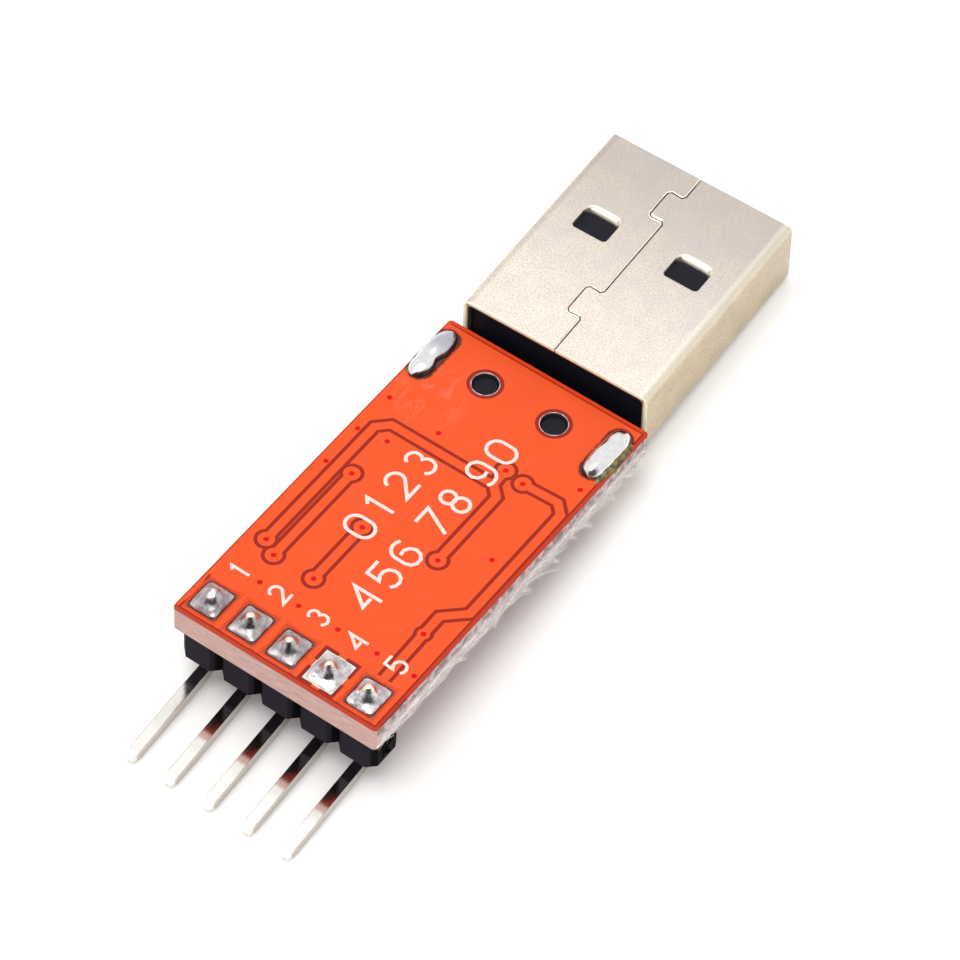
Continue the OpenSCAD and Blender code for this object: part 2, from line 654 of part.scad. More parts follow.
// Chip: moulded body with sloping sides, and two rows of leads bent down to the board
chip_base = 0.1;
lead_t = 0.15;
module chip_view(l) {
    mid = (chip_h + chip_base) / 2;
    polygon([[-l / 2 + 0.12, chip_base], [l / 2 - 0.12, chip_base], [l / 2, mid - 0.1], [l / 2, mid + 0.1],
        [l / 2 - 0.12, chip_h], [-l / 2 + 0.12, chip_h], [-l / 2, mid + 0.1], [-l / 2, mid - 0.1]]);
}
lead_path = [[chip_w / 2 - 0.3, 0.98], [chip_w / 2 + 0.25, 0.98], [chip_w / 2 + 0.5, copper_t + lead_t / 2],
    [lead_reach, copper_t + lead_t / 2]];
module lead(k, s) translate([lead_x(k) - lead_w / 2, 0, 0]) mirror([0, s < 0 ? 1 : 0, 0])
    rotate([90, 0, 90]) linear_extrude(lead_w) polygon(ribbon(lead_path, lead_t));
module all_leads() for (k = [0:lead_count - 1], s = [-1, 1]) lead(k, s);
module chip_body() color("#2a2a2c") on_parts() difference() {
    intersection() {
        translate([chip_x, chip_w / 2 + 1, 0]) rotate([90, 0, 0]) linear_extrude(chip_w + 2)
            chip_view(chip_l);
        translate([chip_x - chip_l, 0, 0]) rotate([90, 0, 90]) linear_extrude(2 * chip_l)
            chip_view(chip_w);
    }
    translate([chip_x - chip_l / 2 + 0.9, -chip_w / 2 + 0.9, chip_h - 0.08]) cylinder(d = 0.8, h = 1);
    all_leads();
}
module chip_leads() color("#cfcfcd") on_parts() all_leads();

// Small parts: a body between two metal ends, seated on their pads
module at(place) translate([place[0], place[1], copper_t]) children();
module small_body(l, w, h, e) box([-l / 2 + e, l / 2 - e], [-w / 2 + 0.02, w / 2 - 0.02], [0.03, h - 0.02]);
module small_ends(l, w, h, e) for (s = [-1, 1]) translate([s * (l / 2 - e / 2), 0, h / 2])
    cube([e, w, h], center = true);

module crystal_base() color("#6f6a60") on_parts() translate([crystal[0], crystal[1], skin])
    linear_extrude(crystal_h) rounded(crystal_l, crystal_w, 0.15);
module crystal_lid() color("#d8d4c8") on_parts() translate([crystal[0], crystal[1], skin + crystal_h])
    linear_extrude(crystal_h) rounded(crystal_l - 2 * lid_step, crystal_w - 2 * lid_step, 0.3);
module capacitor_bodies() color("#b08a63") on_parts() for (p = capacitors) at(p)
    small_body(small_l, small_w, capacitor_h, small_end);
module capacitor_ends() color("#c9c9c9") on_parts() for (p = capacitors) at(p)
    small_ends(small_l, small_w, capacitor_h, small_end);
module resistor_bodies() color("#1d1d20") on_parts() for (p = resistors) at(p)
    small_body(small_l, small_w, small_h, small_end);
module resistor_ends() color("#c9c9c9") on_parts() for (p = resistors) at(p)
    small_ends(small_l, small_w, small_h, small_end);
module lamp_bases() color("#e8e6de") on_parts() for (p = lamps) at(p)
    box([-small_l / 2 + small_end, small_l / 2 - small_end], [-small_w / 2, small_w / 2],
        [skin - copper_t + 0.005, lamp_base_h]);
module lamp_lenses() color("#e9efe2") on_parts() for (p = lamps) at(p)
    translate([0, small_w / 2, lamp_base_h]) rotate([90, 0, 0]) linear_extrude(small_w)
        polygon([[-lens_l / 2, 0], [lens_l / 2, 0], [lens_l / 2 - 0.08, small_h - 0.1],
            [-lens_l / 2 + 0.08, small_h - 0.1]]);
module lamp_ends() color("#d9c26b") on_parts() for (p = lamps) at(p)
    small_ends(small_l, small_w, lamp_base_h, small_end);
module fuse_body() color("#3f7d4a") on_parts() at(fuse) small_body(fuse_l, fuse_w, fuse_h, fuse_end);
module fuse_ends() color("#c9c9c9") on_parts() at(fuse) small_ends(fuse_l, fuse_w, fuse_h, fuse_end);

circuit_board();
copper_back();
copper_front();
hole_plating();
solder_mask_back();
solder_mask_front();
silkscreen_back();
header_strip();
header_pin(0);  // header_pin_1
header_pin(1);  // header_pin_2
header_pin(2);  // header_pin_3
header_pin(3);  // header_pin_4
header_pin(4);  // header_pin_5
header_solder();
plug_shell();
plug_insulator();
plug_contact(0);  // plug_contact_1
plug_contact(1);  // plug_contact_2
plug_contact(2);  // plug_contact_3
plug_contact(3);  // plug_contact_4
contact_solder();
leg_solder();
chip_body();
chip_leads();
crystal_base();
crystal_lid();
capacitor_bodies();
capacitor_ends();
resistor_bodies();
resistor_ends();
lamp_bases();
lamp_lenses();
lamp_ends();
fuse_body();
fuse_ends();
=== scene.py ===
# %% [markdown]
# # A small adapter board with a metal plug and five bent pins
# The object is about as long as a paper clip. It lies with its parts underneath, and it leans on the
# ends of its five pins and on the lower lip of its plug. The solids come ready made from the drawing;
# this lesson gives them their finishes, models what a drawing leaves out, and lights the table.

# %% Load the drawing
import math
import random

import bpy
from mathutils import Matrix, Quaternion, Vector, noise


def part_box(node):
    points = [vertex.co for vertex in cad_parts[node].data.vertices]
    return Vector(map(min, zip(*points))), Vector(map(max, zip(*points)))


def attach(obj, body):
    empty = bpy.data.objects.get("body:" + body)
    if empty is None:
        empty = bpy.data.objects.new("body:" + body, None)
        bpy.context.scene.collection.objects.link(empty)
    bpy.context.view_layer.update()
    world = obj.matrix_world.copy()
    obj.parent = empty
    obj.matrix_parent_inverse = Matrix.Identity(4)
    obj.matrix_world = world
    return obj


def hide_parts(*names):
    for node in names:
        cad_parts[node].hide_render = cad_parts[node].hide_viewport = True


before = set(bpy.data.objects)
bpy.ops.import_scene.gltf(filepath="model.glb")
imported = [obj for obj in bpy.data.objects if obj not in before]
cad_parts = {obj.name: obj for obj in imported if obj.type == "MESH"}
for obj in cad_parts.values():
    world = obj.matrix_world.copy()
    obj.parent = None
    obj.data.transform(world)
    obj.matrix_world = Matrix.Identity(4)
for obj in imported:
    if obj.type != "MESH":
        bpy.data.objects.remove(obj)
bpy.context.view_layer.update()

# %% [markdown]
# ## Places on the board
# Everything here is small, so places are given in millimetres, as a maker reads them from the board: how
# far from the pin end, how far from the middle line, and how high over the board's bare back. One
# function turns them into Blender's metres. The board's own solid says where it lies, so nothing has to
# be fitted by eye. The plug was soldered in a little askew, and gets a matrix of its own.

# %% Places
MM = 0.001
board_low, board_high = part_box("circuit_board")
board_middle = (board_low.y + board_high.y) / 2
BACK = board_high.z
BOARD_L = (board_high.x - board_low.x) / MM
BOARD_W = (board_high.y - board_low.y) / MM
LINE_Y = 0.13
PITCH = 2.54


def on_board(x, y, z=0.0):
    return Vector((board_low.x + x * MM, board_middle + y * MM, BACK + z * MM))


def pin_y(i):
    return LINE_Y + (2 - i) * PITCH


plug_seat = on_board(BOARD_L + 0.56, LINE_Y, 1.65)
plug_turn = (0.0, -math.radians(2.8), math.radians(1.1))
print("board in mm:", round(BOARD_L, 2), "by", round(BOARD_W, 2), "back at height", round(BACK / MM, 3))

# %% [markdown]
# ## The camera
# The photograph was taken from the pin side, from well above, with a long lens: the board's parallel
# edges hardly draw together. The corners of the board and plug, the pads and the pin tips gave the
# camera's place and its 188 mm lens. A small roll round its own axis finishes it.

# %% Camera
camera = bpy.data.objects.new("camera", bpy.data.cameras.new("camera"))
bpy.context.scene.collection.objects.link(camera)
bpy.context.scene.camera = camera
heading, dip, roll = 0.5751, 0.9013, 0.0619
sight = Vector((math.cos(dip) * math.cos(heading), math.cos(dip) * math.sin(heading), -math.sin(dip)))
camera.location = on_board(-122.4683, -91.3539, 209.4292)
camera.rotation_mode = "QUATERNION"
camera.rotation_quaternion = sight.to_track_quat("-Z", "Y") @ Quaternion((0, 0, 1), roll)
camera.data.sensor_width = 36
camera.data.lens = 5018.83 / 960 * 36
camera.data.clip_start, camera.data.clip_end = 0.01, 10
print("camera at", [round(c, 4) for c in camera.location], "lens", round(camera.data.lens, 1))

# %% [markdown]
# ## Wiring a finish
# A procedural finish is a small calculation that runs at every point of a surface. Written as nodes it
# soon becomes a tangle, and written as Python sums it can be read. `Wire` holds one socket, and adding,
# subtracting, multiplying or dividing it adds the Math node that does so. A coordinate or a colour goes
# through Vector Math instead, because a Math node would flatten it to one number. `Finish.node` makes
# any other node from its type, its settings and what goes into its sockets.

# %% Wires and finishes
class Wire:
    def __init__(self, finish, socket):
        self.finish, self.socket = finish, socket

    def reckon(self, operation, *values):
        plain = all(not isinstance(v, Wire) or v.socket.type == "VALUE" for v in values)
        kind = "ShaderNodeMath" if plain else "ShaderNodeVectorMath"
        return self.finish.node(kind, {"operation": operation}, dict(enumerate(values)))

    def __add__(self, other): return self.reckon("ADD", self, other)
    def __radd__(self, other): return self.reckon("ADD", other, self)
    def __sub__(self, other): return self.reckon("SUBTRACT", self, other)
    def __rsub__(self, other): return self.reckon("SUBTRACT", other, self)
    def __mul__(self, other): return self.reckon("MULTIPLY", self, other)
    def __rmul__(self, other): return self.reckon("MULTIPLY", other, self)
    def __truediv__(self, other): return self.reckon("DIVIDE", self, other)
    def __rtruediv__(self, other): return self.reckon("DIVIDE", other, self)
    def __abs__(self): return self.reckon("ABSOLUTE", self)

    def part(self, axis):
        return self.finish.node("ShaderNodeSeparateXYZ", {}, {0: self}, axis)


class Finish:
    def __init__(self, name):
        self.material = bpy.data.materials.new(name)
        self.material.use_nodes = True
        self.tree = self.material.node_tree
        self.tree.nodes.clear()
        self.ending = self.tree.nodes.new("ShaderNodeOutputMaterial")

    def plug_in(self, socket, value):
        if isinstance(value, Wire):
            self.tree.links.new(value.socket, socket)
        elif socket.type == "RGBA":
            socket.default_value = (*value, 1.0)[:4]
        elif socket.type == "VECTOR" and isinstance(value, (int, float)):
            socket.default_value = (value,) * 3
        else:
            socket.default_value = value

    def node(self, kind, settings=None, sockets=None, output=0):
        made = self.tree.nodes.new(kind)
        for name, value in (settings or {}).items():
            setattr(made, name, value)
        live = [s for s in made.inputs if s.enabled]
        for name, value in (sockets or {}).items():
            found = live[name] if isinstance(name, int) else next(s for s in live if s.name == name)
            self.plug_in(found, value)
        given = [s for s in made.outputs if s.enabled]
        return Wire(self, given[output] if isinstance(output, int) else made.outputs[output])

    def shade(self, **look):
        sockets = {name.replace("_", " "): value for name, value in look.items()}
        shader = self.node("ShaderNodeBsdfPrincipled", {}, sockets)
        self.tree.links.new(shader.socket, self.ending.inputs["Surface"])
        return self.material


print("wires ready")

# %% [markdown]
# ## Words for the finishes
# The same few moves come back in every finish. `place` is a point's place in millimetres. `grain` is
# noise with a grain of a given size, `above` a soft step from 0 to 1, `blend` a mix of two colours and
# `relief` turns a height into a bend of the surface. Real edges are never razor sharp, and a rounded
# edge is what catches the light, so `soft_edges` bends the surface near every edge of a solid.

# %% Words
def place(f):
    return f.node("ShaderNodeTexCoord", {}, {}, "Object") * 1000.0


def place_on_board(f):
    return place(f) - tuple(c / MM for c in on_board(0, 0, 0))


def grain(f, where, size, detail=2.0, rough=0.5, warp=0.0):
    sockets = {"Vector": where, "Scale": 1.0 / size, "Detail": detail, "Roughness": rough, "Distortion": warp}
    return f.node("ShaderNodeTexNoise", {}, sockets, "Fac")


def above(f, value, low, high):
    return f.node("ShaderNodeMapRange", {"interpolation_type": "SMOOTHSTEP"}, {0: value, 1: low, 2: high})


def blend(f, share, first, second):
    return f.node("ShaderNodeMix", {"data_type": "RGBA"}, {"Factor": share, "A": first, "B": second})


def stretched(f, where, across):
    return f.node("ShaderNodeVectorMath", {"operation": "MULTIPLY"}, {0: where, 1: across})


def largest(f, first, second):
    return f.node("ShaderNodeMath", {"operation": "MAXIMUM"}, {0: first, 1: second})


def wrapped(f, y):
    """How far a point is sideways from the nearest pin, in mm."""
    return f.node("ShaderNodeMath", {"operation": "WRAP"}, {0: y - LINE_Y, 1: PITCH / 2, 2: -PITCH / 2})


def past_joint(f, x, y):
    """How far a point lies outside the outline of the nearest pin's joint, in mm."""
    return largest(f, abs(x - 1.6) - 0.965, abs(wrapped(f, y)) - 0.845)


def round_joint(f, x, y, z):
    """1 where the lacquer ran over the corners of a pad, except at the wide pad of the fourth pin."""
    past = past_joint(f, x, y)
    wide_pad = above(f, abs(y - pin_y(3)), 1.30, 1.24)
    return above(f, past, 0.05, 0.10) * above(f, past, 0.47, 0.41) * (1.0 - wide_pad) * above(f, z, -0.8, -0.6)


OVER_COPPER = ((0.655, 0.069, 0.0125), (0.72, 0.082, 0.0205))


def soft_edges(f, radius):
    return f.node("ShaderNodeBevel", {"samples": 4}, {"Radius": radius * MM})


def relief(f, height, depth, strength=1.0, over=None):
    sockets = {"Strength": strength, "Distance": depth * MM, "Height": height}
    if over is not None:
        sockets["Normal"] = over
    return f.node("ShaderNodeBump", {}, sockets)


def apart(f, where, centre):
    """How far a point is from a centre, seen from above, in mm."""
    gap = stretched(f, where - (*centre, 0.0), (1.0, 1.0, 0.0))
    return f.node("ShaderNodeVectorMath", {"operation": "LENGTH"}, {0: gap}, "Value")


print("words ready")

# %% [markdown]
# ## The floor and the light
# The object stands on a white sheet that runs out of sight. The board leans, so the sheet is tilted to
# touch the pin ends and the plug's lip. The photograph was taken in a light tent: a big soft lamp right
# overhead and bright white all round, so that only the ground close under the object is in shadow. Far
# away the sheet glows a little for the camera, where the lamp no longer reaches it. Behind the camera
# the tent is open and dark, and that darkness is what gives solder and tin their black reflections.

# %% Floor
tips, lip = on_board(-5.0, 0, -6.524), on_board(40.01, 0, -2.139)
lean = math.atan2(lip.z - tips.z, lip.x - tips.x)
table = bpy.data.meshes.new("floor")
half = 1.5
table.from_pydata([(-half, -half, 0), (half, -half, 0), (half, half, 0), (-half, half, 0)], [], [(0, 1, 2, 3)])
floor = bpy.data.objects.new("floor", table)
bpy.context.scene.collection.objects.link(floor)
floor.matrix_world = Matrix.Translation(tips) @ Matrix.Rotation(-lean, 4, "Y")
paper = Finish("white_sheet")
ray = paper.node("ShaderNodeLightPath", {}, {}, "Is Camera Ray")
distance = paper.node("ShaderNodeVectorMath", {"operation": "LENGTH"}, {0: place(paper)}, "Value")
far = above(paper, distance, 60.0, 260.0)
glow = paper.node("ShaderNodeEmission", {}, {"Color": (1.0, 1.0, 1.0), "Strength": ray * far * 0.4})
fibres = grain(paper, place(paper), 0.4, 3.0)
sheet = paper.node("ShaderNodeBsdfDiffuse", {}, {"Color": blend(paper, fibres, (0.89, 0.885, 0.88), (0.92, 0.915, 0.91))})
both = paper.node("ShaderNodeAddShader", {}, {0: sheet, 1: glow})
paper.tree.links.new(both.socket, paper.ending.inputs["Surface"])
table.materials.append(paper.material)
print("floor leans", round(math.degrees(lean), 2), "degrees")


# %% Lamps and sky
def lamp(name, toward, distance, size, power, tint=(1, 1, 1)):
    light = bpy.data.lights.new(name, "AREA")
    light.shape, light.size, light.energy, light.color = "DISK", size, power, tint
    made = bpy.data.objects.new(name, light)
    bpy.context.scene.collection.objects.link(made)
    made.location = Vector(toward).normalized() * distance
    made.rotation_mode = "QUATERNION"
    made.rotation_quaternion = (-made.location).to_track_quat("-Z", "Y")
    return made


lamp("soft_lamp", (-0.13, 0.07, 1.0), 0.5, 0.42, 1.5, (1.0, 0.99, 0.97))

sky = bpy.data.worlds.new("white_room")
bpy.context.scene.world = sky
sky.use_nodes = True
room = Finish.__new__(Finish)
room.tree = sky.node_tree
room.tree.nodes.clear()
way = room.node("ShaderNodeTexCoord", {}, {}, "Generated")
facing = room.node("ShaderNodeVectorMath", {"operation": "DOT_PRODUCT"}, {0: way, 1: (-0.72, -0.50, 0.48)}, "Value")
unlit = above(room, facing, 0.50, 0.88)
path = room.node("ShaderNodeLightPath", {}, {}, "Is Camera Ray")
in_metal = Wire(room, path.socket.node.outputs["Is Glossy Ray"])
level = 0.95 + path * 0.05 - in_metal * (0.03 + 0.86 * unlit)
air = room.node("ShaderNodeBackground", {}, {"Color": (1.0, 1.0, 1.0), "Strength": level})
last = room.tree.nodes.new("ShaderNodeOutputWorld")
room.tree.links.new(air.socket, last.inputs["Surface"])
bpy.context.scene.view_settings.view_transform = "Standard"

# %% [markdown]
# ## The red lacquer
# Solder lacquer is a thin glossy film. Over copper it looks bright orange, over the bare lines between
# the copper it sinks a little and looks dark red, and over the filled holes it is a deep red dot. The
# drawing has these depths, so the finish reads the colour from the height. Handling has left whitish
# scuffs near the plug. A near-black ring is painted round the plug's two solder joints, and a thin dark
# line of painted shadow round the foot of each pin's joint.

# %% Lacquer
def lacquer():
    f = Finish("red_lacquer")
    where = place_on_board(f)
    x, y, z = (where.part(a) for a in range(3))
    depth = f.node("ShaderNodeMath", {"operation": "MAXIMUM"}, {0: z, 1: -1.6 - z})
    cloud = grain(f, where, 2.2, 3.0)
    over_copper = blend(f, cloud, *OVER_COPPER)
    outer = largest(f, abs(y) - BOARD_W / 2, abs(x - BOARD_L / 2) - BOARD_L / 2)
    strip = blend(f, above(f, x, 12.0, 24.0), (0.42, 0.040, 0.012), (0.58, 0.050, 0.012))
    strip = blend(f, above(f, y, -6.1, -6.4), strip, (0.42, 0.034, 0.011))
    over_board = blend(f, above(f, outer, -0.25, -0.17), (0.27, 0.016, 0.008), strip)
    colour = blend(f, above(f, depth, 0.0405, 0.0445), over_board, (0.56, 0.0, 0.0))
    thick = largest(f, above(f, depth, 0.0455, 0.0515), round_joint(f, x, y, z) * above(f, outer, -0.32, -0.36))
    colour = blend(f, thick, colour, over_copper)
    scuffs = f.node("ShaderNodeMath", {"operation": "MULTIPLY"}, {
        0: above(f, grain(f, stretched(f, where, (0.6, 1.3, 1.0)), 0.75, 3.0, 0.6, 0.8), 0.46, 0.70),
        1: above(f, apart(f, where, (19.7, 4.3)), 3.0, 0.8)})
    colour = blend(f, scuffs * 0.35, colour, (0.74, 0.20, 0.13))
    crumbs = grain(f, where, 0.22, 3.0, 0.6) - 0.5
    # A near-black ring is painted round the foot of each of the plug's two beads.
    for side in (-1, 1):
        along = largest(f, abs(x - 22.1) - 1.25, 0.0)
        outward = y - (side * 5.72 + LINE_Y)
        reach = f.node("ShaderNodeMath", {"operation": "SQRT"}, {0: along * along + outward * outward})
        dark_ring = above(f, reach + crumbs * 0.22, 0.86, 0.72)
        colour = blend(f, dark_ring * 0.9, colour, (0.050, 0.008, 0.005))
    # Round each pin's joint: a wider darker red zone of the lacquer, and inside it a thin dark line of painted shadow
    # at the joint's foot.
    past = past_joint(f, x, y)
    colour = blend(f, above(f, past + crumbs * 0.2, 0.30, 0.08) * 0.55, colour, (0.26, 0.018, 0.008))
    colour = blend(f, above(f, past + crumbs * 0.06, 0.11, 0.03) * 0.9, colour, (0.050, 0.012, 0.009))
    cut_face = f.node("ShaderNodeMath", {"operation": "MULTIPLY"}, {
        0: above(f, outer, -0.02, -0.008), 1: above(f, z, -0.9, -1.1)})
    colour = blend(f, cut_face, colour, (0.50, 0.34, 0.30))
    shape = relief(f, grain(f, where, 0.35, 2.0), 0.004, 0.5, soft_edges(f, 0.03))
    rough = 0.18 + grain(f, where, 0.9, 3.0) * 0.14 + scuffs * 0.2
    return f.shade(Base_Color=colour, Roughness=rough, Specular_IOR_Level=0.16, Normal=shape)


red_lacquer = lacquer()
print("finish:", red_lacquer.name, "nodes:", len(red_lacquer.node_tree.nodes))

# %% [markdown]
# ## The laminate
# The board is glass cloth in resin. Its flat faces hide under lacquer, and its cut edges show the cloth
# in thin layers: pale, matt and a little pink at the pin end, where it was sawn, and rough and whitish on
# the right, where the milling cutter tore the glass. Noise squeezed flat in height makes the layers.

# %% Laminate
def laminate():
    f = Finish("laminate")
    where = place_on_board(f)
    x, y, z = (where.part(a) for a in range(3))
    layers = grain(f, stretched(f, where, (0.55, 0.55, 4.5)), 0.6, 4.0, 0.6)
    threads = grain(f, stretched(f, where, (0.6, 2.0, 3.0)), 0.35, 4.0, 0.65, 0.6)
    sawn = blend(f, above(f, layers, 0.28, 0.72), (0.43, 0.265, 0.235), (0.64, 0.40, 0.36))
    torn = blend(f, above(f, threads, 0.36, 0.66), (0.42, 0.33, 0.32), (0.92, 0.85, 0.84))
    patches = grain(f, where, 0.42, 3.0, 0.6)
    ground = blend(f, above(f, patches, 0.40, 0.62), (0.22, 0.15, 0.15), (0.54, 0.44, 0.43))
    torn = blend(f, above(f, z + patches * 1.2, -0.55, 0.05), torn, ground)
    right = above(f, y, -BOARD_W / 2 + 0.03, -BOARD_W / 2 + 0.01)
    colour = blend(f, right, sawn, torn)
    # Painted shade: the walls of the two peg holes are near black, as the shade deep in the holes.
    nearest_hole = apart(f, stretched(f, where - (0.0, LINE_Y, 0.0), (1.0, 1.0, 0.0)) * 1.0, (22.12, 2.27))
    other_hole = apart(f, stretched(f, where - (0.0, LINE_Y, 0.0), (1.0, 1.0, 0.0)) * 1.0, (22.12, -2.27))
    hole_shade = largest(f, above(f, nearest_hole, 0.92, 0.88), above(f, other_hole, 0.92, 0.88))
    colour = blend(f, hole_shade, colour, (0.030, 0.022, 0.024))
    on_back = above(f, z, -0.02, -0.005)
    face = blend(f, round_joint(f, x, y, z), (0.060, 0.014, 0.010), blend(f, layers, *OVER_COPPER))
    colour = blend(f, on_back, colour, face)
    height = layers * 0.5 + threads * (0.5 + right)
    return f.shade(Base_Color=colour, Roughness=0.62 + threads * 0.25, Normal=relief(f, height, 0.03, 0.5))


laminate_finish = laminate()
print("finish:", laminate_finish.name)

# %% [markdown]
# ## Print, copper and tin
# The white print is thick ink, a little worn and pink where the lacquer shines through. All the copper
# that is left open was tinned, so it looks grey. On the back only a hair of it shows round most joints,
# and there the iron burnt flux onto it, or the lacquer runs over the pad's corner. The fourth pin's wide
# pad stayed clean.

# %% Print, copper and tin
def white_print():
    f = Finish("white_print")
    where = place_on_board(f)
    wear = above(f, grain(f, where, 0.12, 3.0, 0.6), 0.52, 0.72)
    colour = blend(f, wear * 0.4, (0.66, 0.58, 0.54), (0.66, 0.34, 0.27))
    return f.shade(Base_Color=colour, Roughness=0.45, Normal=relief(f, grain(f, where, 0.06), 0.004, 0.4))


def tinned(name, light, dark, rough, size):
    f = Finish(name)
    where = place_on_board(f)
    cloud = grain(f, where, size, 4.0, 0.6)
    fine = grain(f, where, size / 5, 3.0, 0.6)
    colour = blend(f, above(f, cloud, 0.35, 0.7), light, dark)
    shape = relief(f, cloud + fine * 0.3, 0.012, 0.5, soft_edges(f, 0.02))
    return f.shade(Base_Color=colour, Metallic=1.0, Roughness=rough + fine * 0.18, Normal=shape)


def open_copper():
    f = Finish("copper")
    where = place_on_board(f)
    crust = grain(f, where, 0.12, 3.0, 0.6)
    tin = blend(f, grain(f, where, 0.4, 4.0), (0.80, 0.78, 0.74), (0.62, 0.52, 0.44))
    flux = blend(f, crust, (0.11, 0.034, 0.024), (0.035, 0.014, 0.010))
    clean_pad = above(f, apart(f, where, (1.6, LINE_Y - PITCH)), 1.9, 1.7)
    darkened = above(f, where.part(2) - clean_pad * 3.0, -1.0, -0.6)
    flux = blend(f, round_joint(f, *(where.part(a) for a in range(3))), flux, blend(f, crust, *OVER_COPPER))
    return f.shade(Base_Color=blend(f, darkened, tin, flux), Metallic=1.0 - darkened, Roughness=0.25 + crust * 0.3,
                   Normal=relief(f, crust, 0.01, 0.5))


print_finish = white_print()
foil = open_copper()
plated = tinned("plating", (0.84, 0.83, 0.80), (0.66, 0.64, 0.60), 0.2, 0.3)
lead_tin = tinned("lead_metal", (0.82, 0.82, 0.80), (0.66, 0.66, 0.66), 0.2, 0.25)
cap_tin = tinned("end_metal", (0.80, 0.80, 0.79), (0.58, 0.58, 0.60), 0.26, 0.2)
print("finishes:", [m.name for m in (print_finish, foil, plated, lead_tin, cap_tin)])

# %% [markdown]
# ## Solder
# Solder freezes into a bright skin with a faint mottle, where lead and tin part as they cool, and with
# brownish spots of baked flux. Flat and steep parts froze to different skins: on a pin's joint the hill
# and the corners are slick and the flat ring between them is dull. A painted highlight whitens the top of
# each pin's joint, and its corners are painted lighter, partly as a glint and partly for the thin tin
# there. The plug's two big beads are brighter all over, part of the left one carries painted shade, and
# they end in a near-black rim, so one function makes three mixes.

# %% Solder
def solder_finish(name, light, dark, blush, bumps, rim=-1.0, summit_highlight=9.0, painted_shade_share=0.0, slick_side=0.5):
    """A mix of solder: its two greys, its pink, its bumps, how high its dark rim reaches and where its painted
    highlight starts.
    """
    f = Finish(name)
    where = place_on_board(f)
    ahead, beside, z = where.part(0) - 1.6, wrapped(f, where.part(1)), where.part(2)
    out = f.node("ShaderNodeMath", {"operation": "SQRT"}, {0: ahead * ahead + beside * beside})
    dull = above(f, out + ahead * slick_side, 0.46, 0.62) * above(f, out, 1.15, 0.95)
    inner = above(f, abs(where.part(1) - LINE_Y), 5.95, 5.60)
    cloud = grain(f, where, 0.30, 4.0, 0.62, 0.4)
    fine = grain(f, where, 0.07, 3.0, 0.6)
    colour = blend(f, above(f, cloud, 0.38, 0.66), light, dark)
    pinkish = above(f, grain(f, where + (7.0, 3.0, 1.0), 0.35, 2.0), 0.54, 0.68)
    colour = blend(f, pinkish * blush, colour, (0.46, 0.33, 0.335))
    # Corners painted lighter: a painted glint, and partly the thin tin at a pin joint's corners; the beads lie far
    # from any pin, so this lightens them all over.
    colour = blend(f, above(f, out, 0.9, 1.25) * 0.6, colour, (0.92, 0.90, 0.90))
    # A painted highlight whitens the top of each pin's joint.
    colour = blend(f, above(f, z, summit_highlight, summit_highlight + 0.10), colour, (1.0, 0.92, 0.74))
    # The foot of a bead is painted near black and dull, higher on its inner side.
    darkened = above(f, z + (fine - 0.5) * 0.08, rim * (0.20 + inner), rim * (0.20 + inner) - 0.08)
    # Painted shade on the plug-side half of the left bead.
    painted_shade_patch = above(f, where.part(0), 21.7, 22.9) * above(f, where.part(1), 4.0, 5.0) * painted_shade_share
    colour = blend(f, painted_shade_patch, colour, (0.48, 0.47, 0.56))
    colour = blend(f, darkened, colour, (0.030, 0.012, 0.010))
    shape = relief(f, cloud * 0.5 + fine * 0.5, 0.03, bumps)
    rough = 0.13 + dull * 0.24 + fine * 0.14
    return f.shade(Base_Color=colour, Metallic=1.0 - darkened * 0.9, Roughness=rough, Normal=shape)


solder = solder_finish("solder", (0.58, 0.56, 0.58), (0.34, 0.32, 0.335), 0.6, 0.5, summit_highlight=0.74)
dull_solder = solder_finish("dull_solder", (0.55, 0.52, 0.535), (0.33, 0.305, 0.315), 0.65, 0.5, summit_highlight=0.74,
                            slick_side=0.1)
light_solder = solder_finish("light_solder", (0.76, 0.735, 0.76), (0.48, 0.455, 0.475), 0.6, 0.5, summit_highlight=0.74)
bead_solder = solder_finish("bead_solder", (0.88, 0.88, 0.93), (0.68, 0.67, 0.74), 0.12, 0.15, rim=0.28, painted_shade_share=0.8)
print("finishes:", solder.name, dull_solder.name, bead_solder.name)
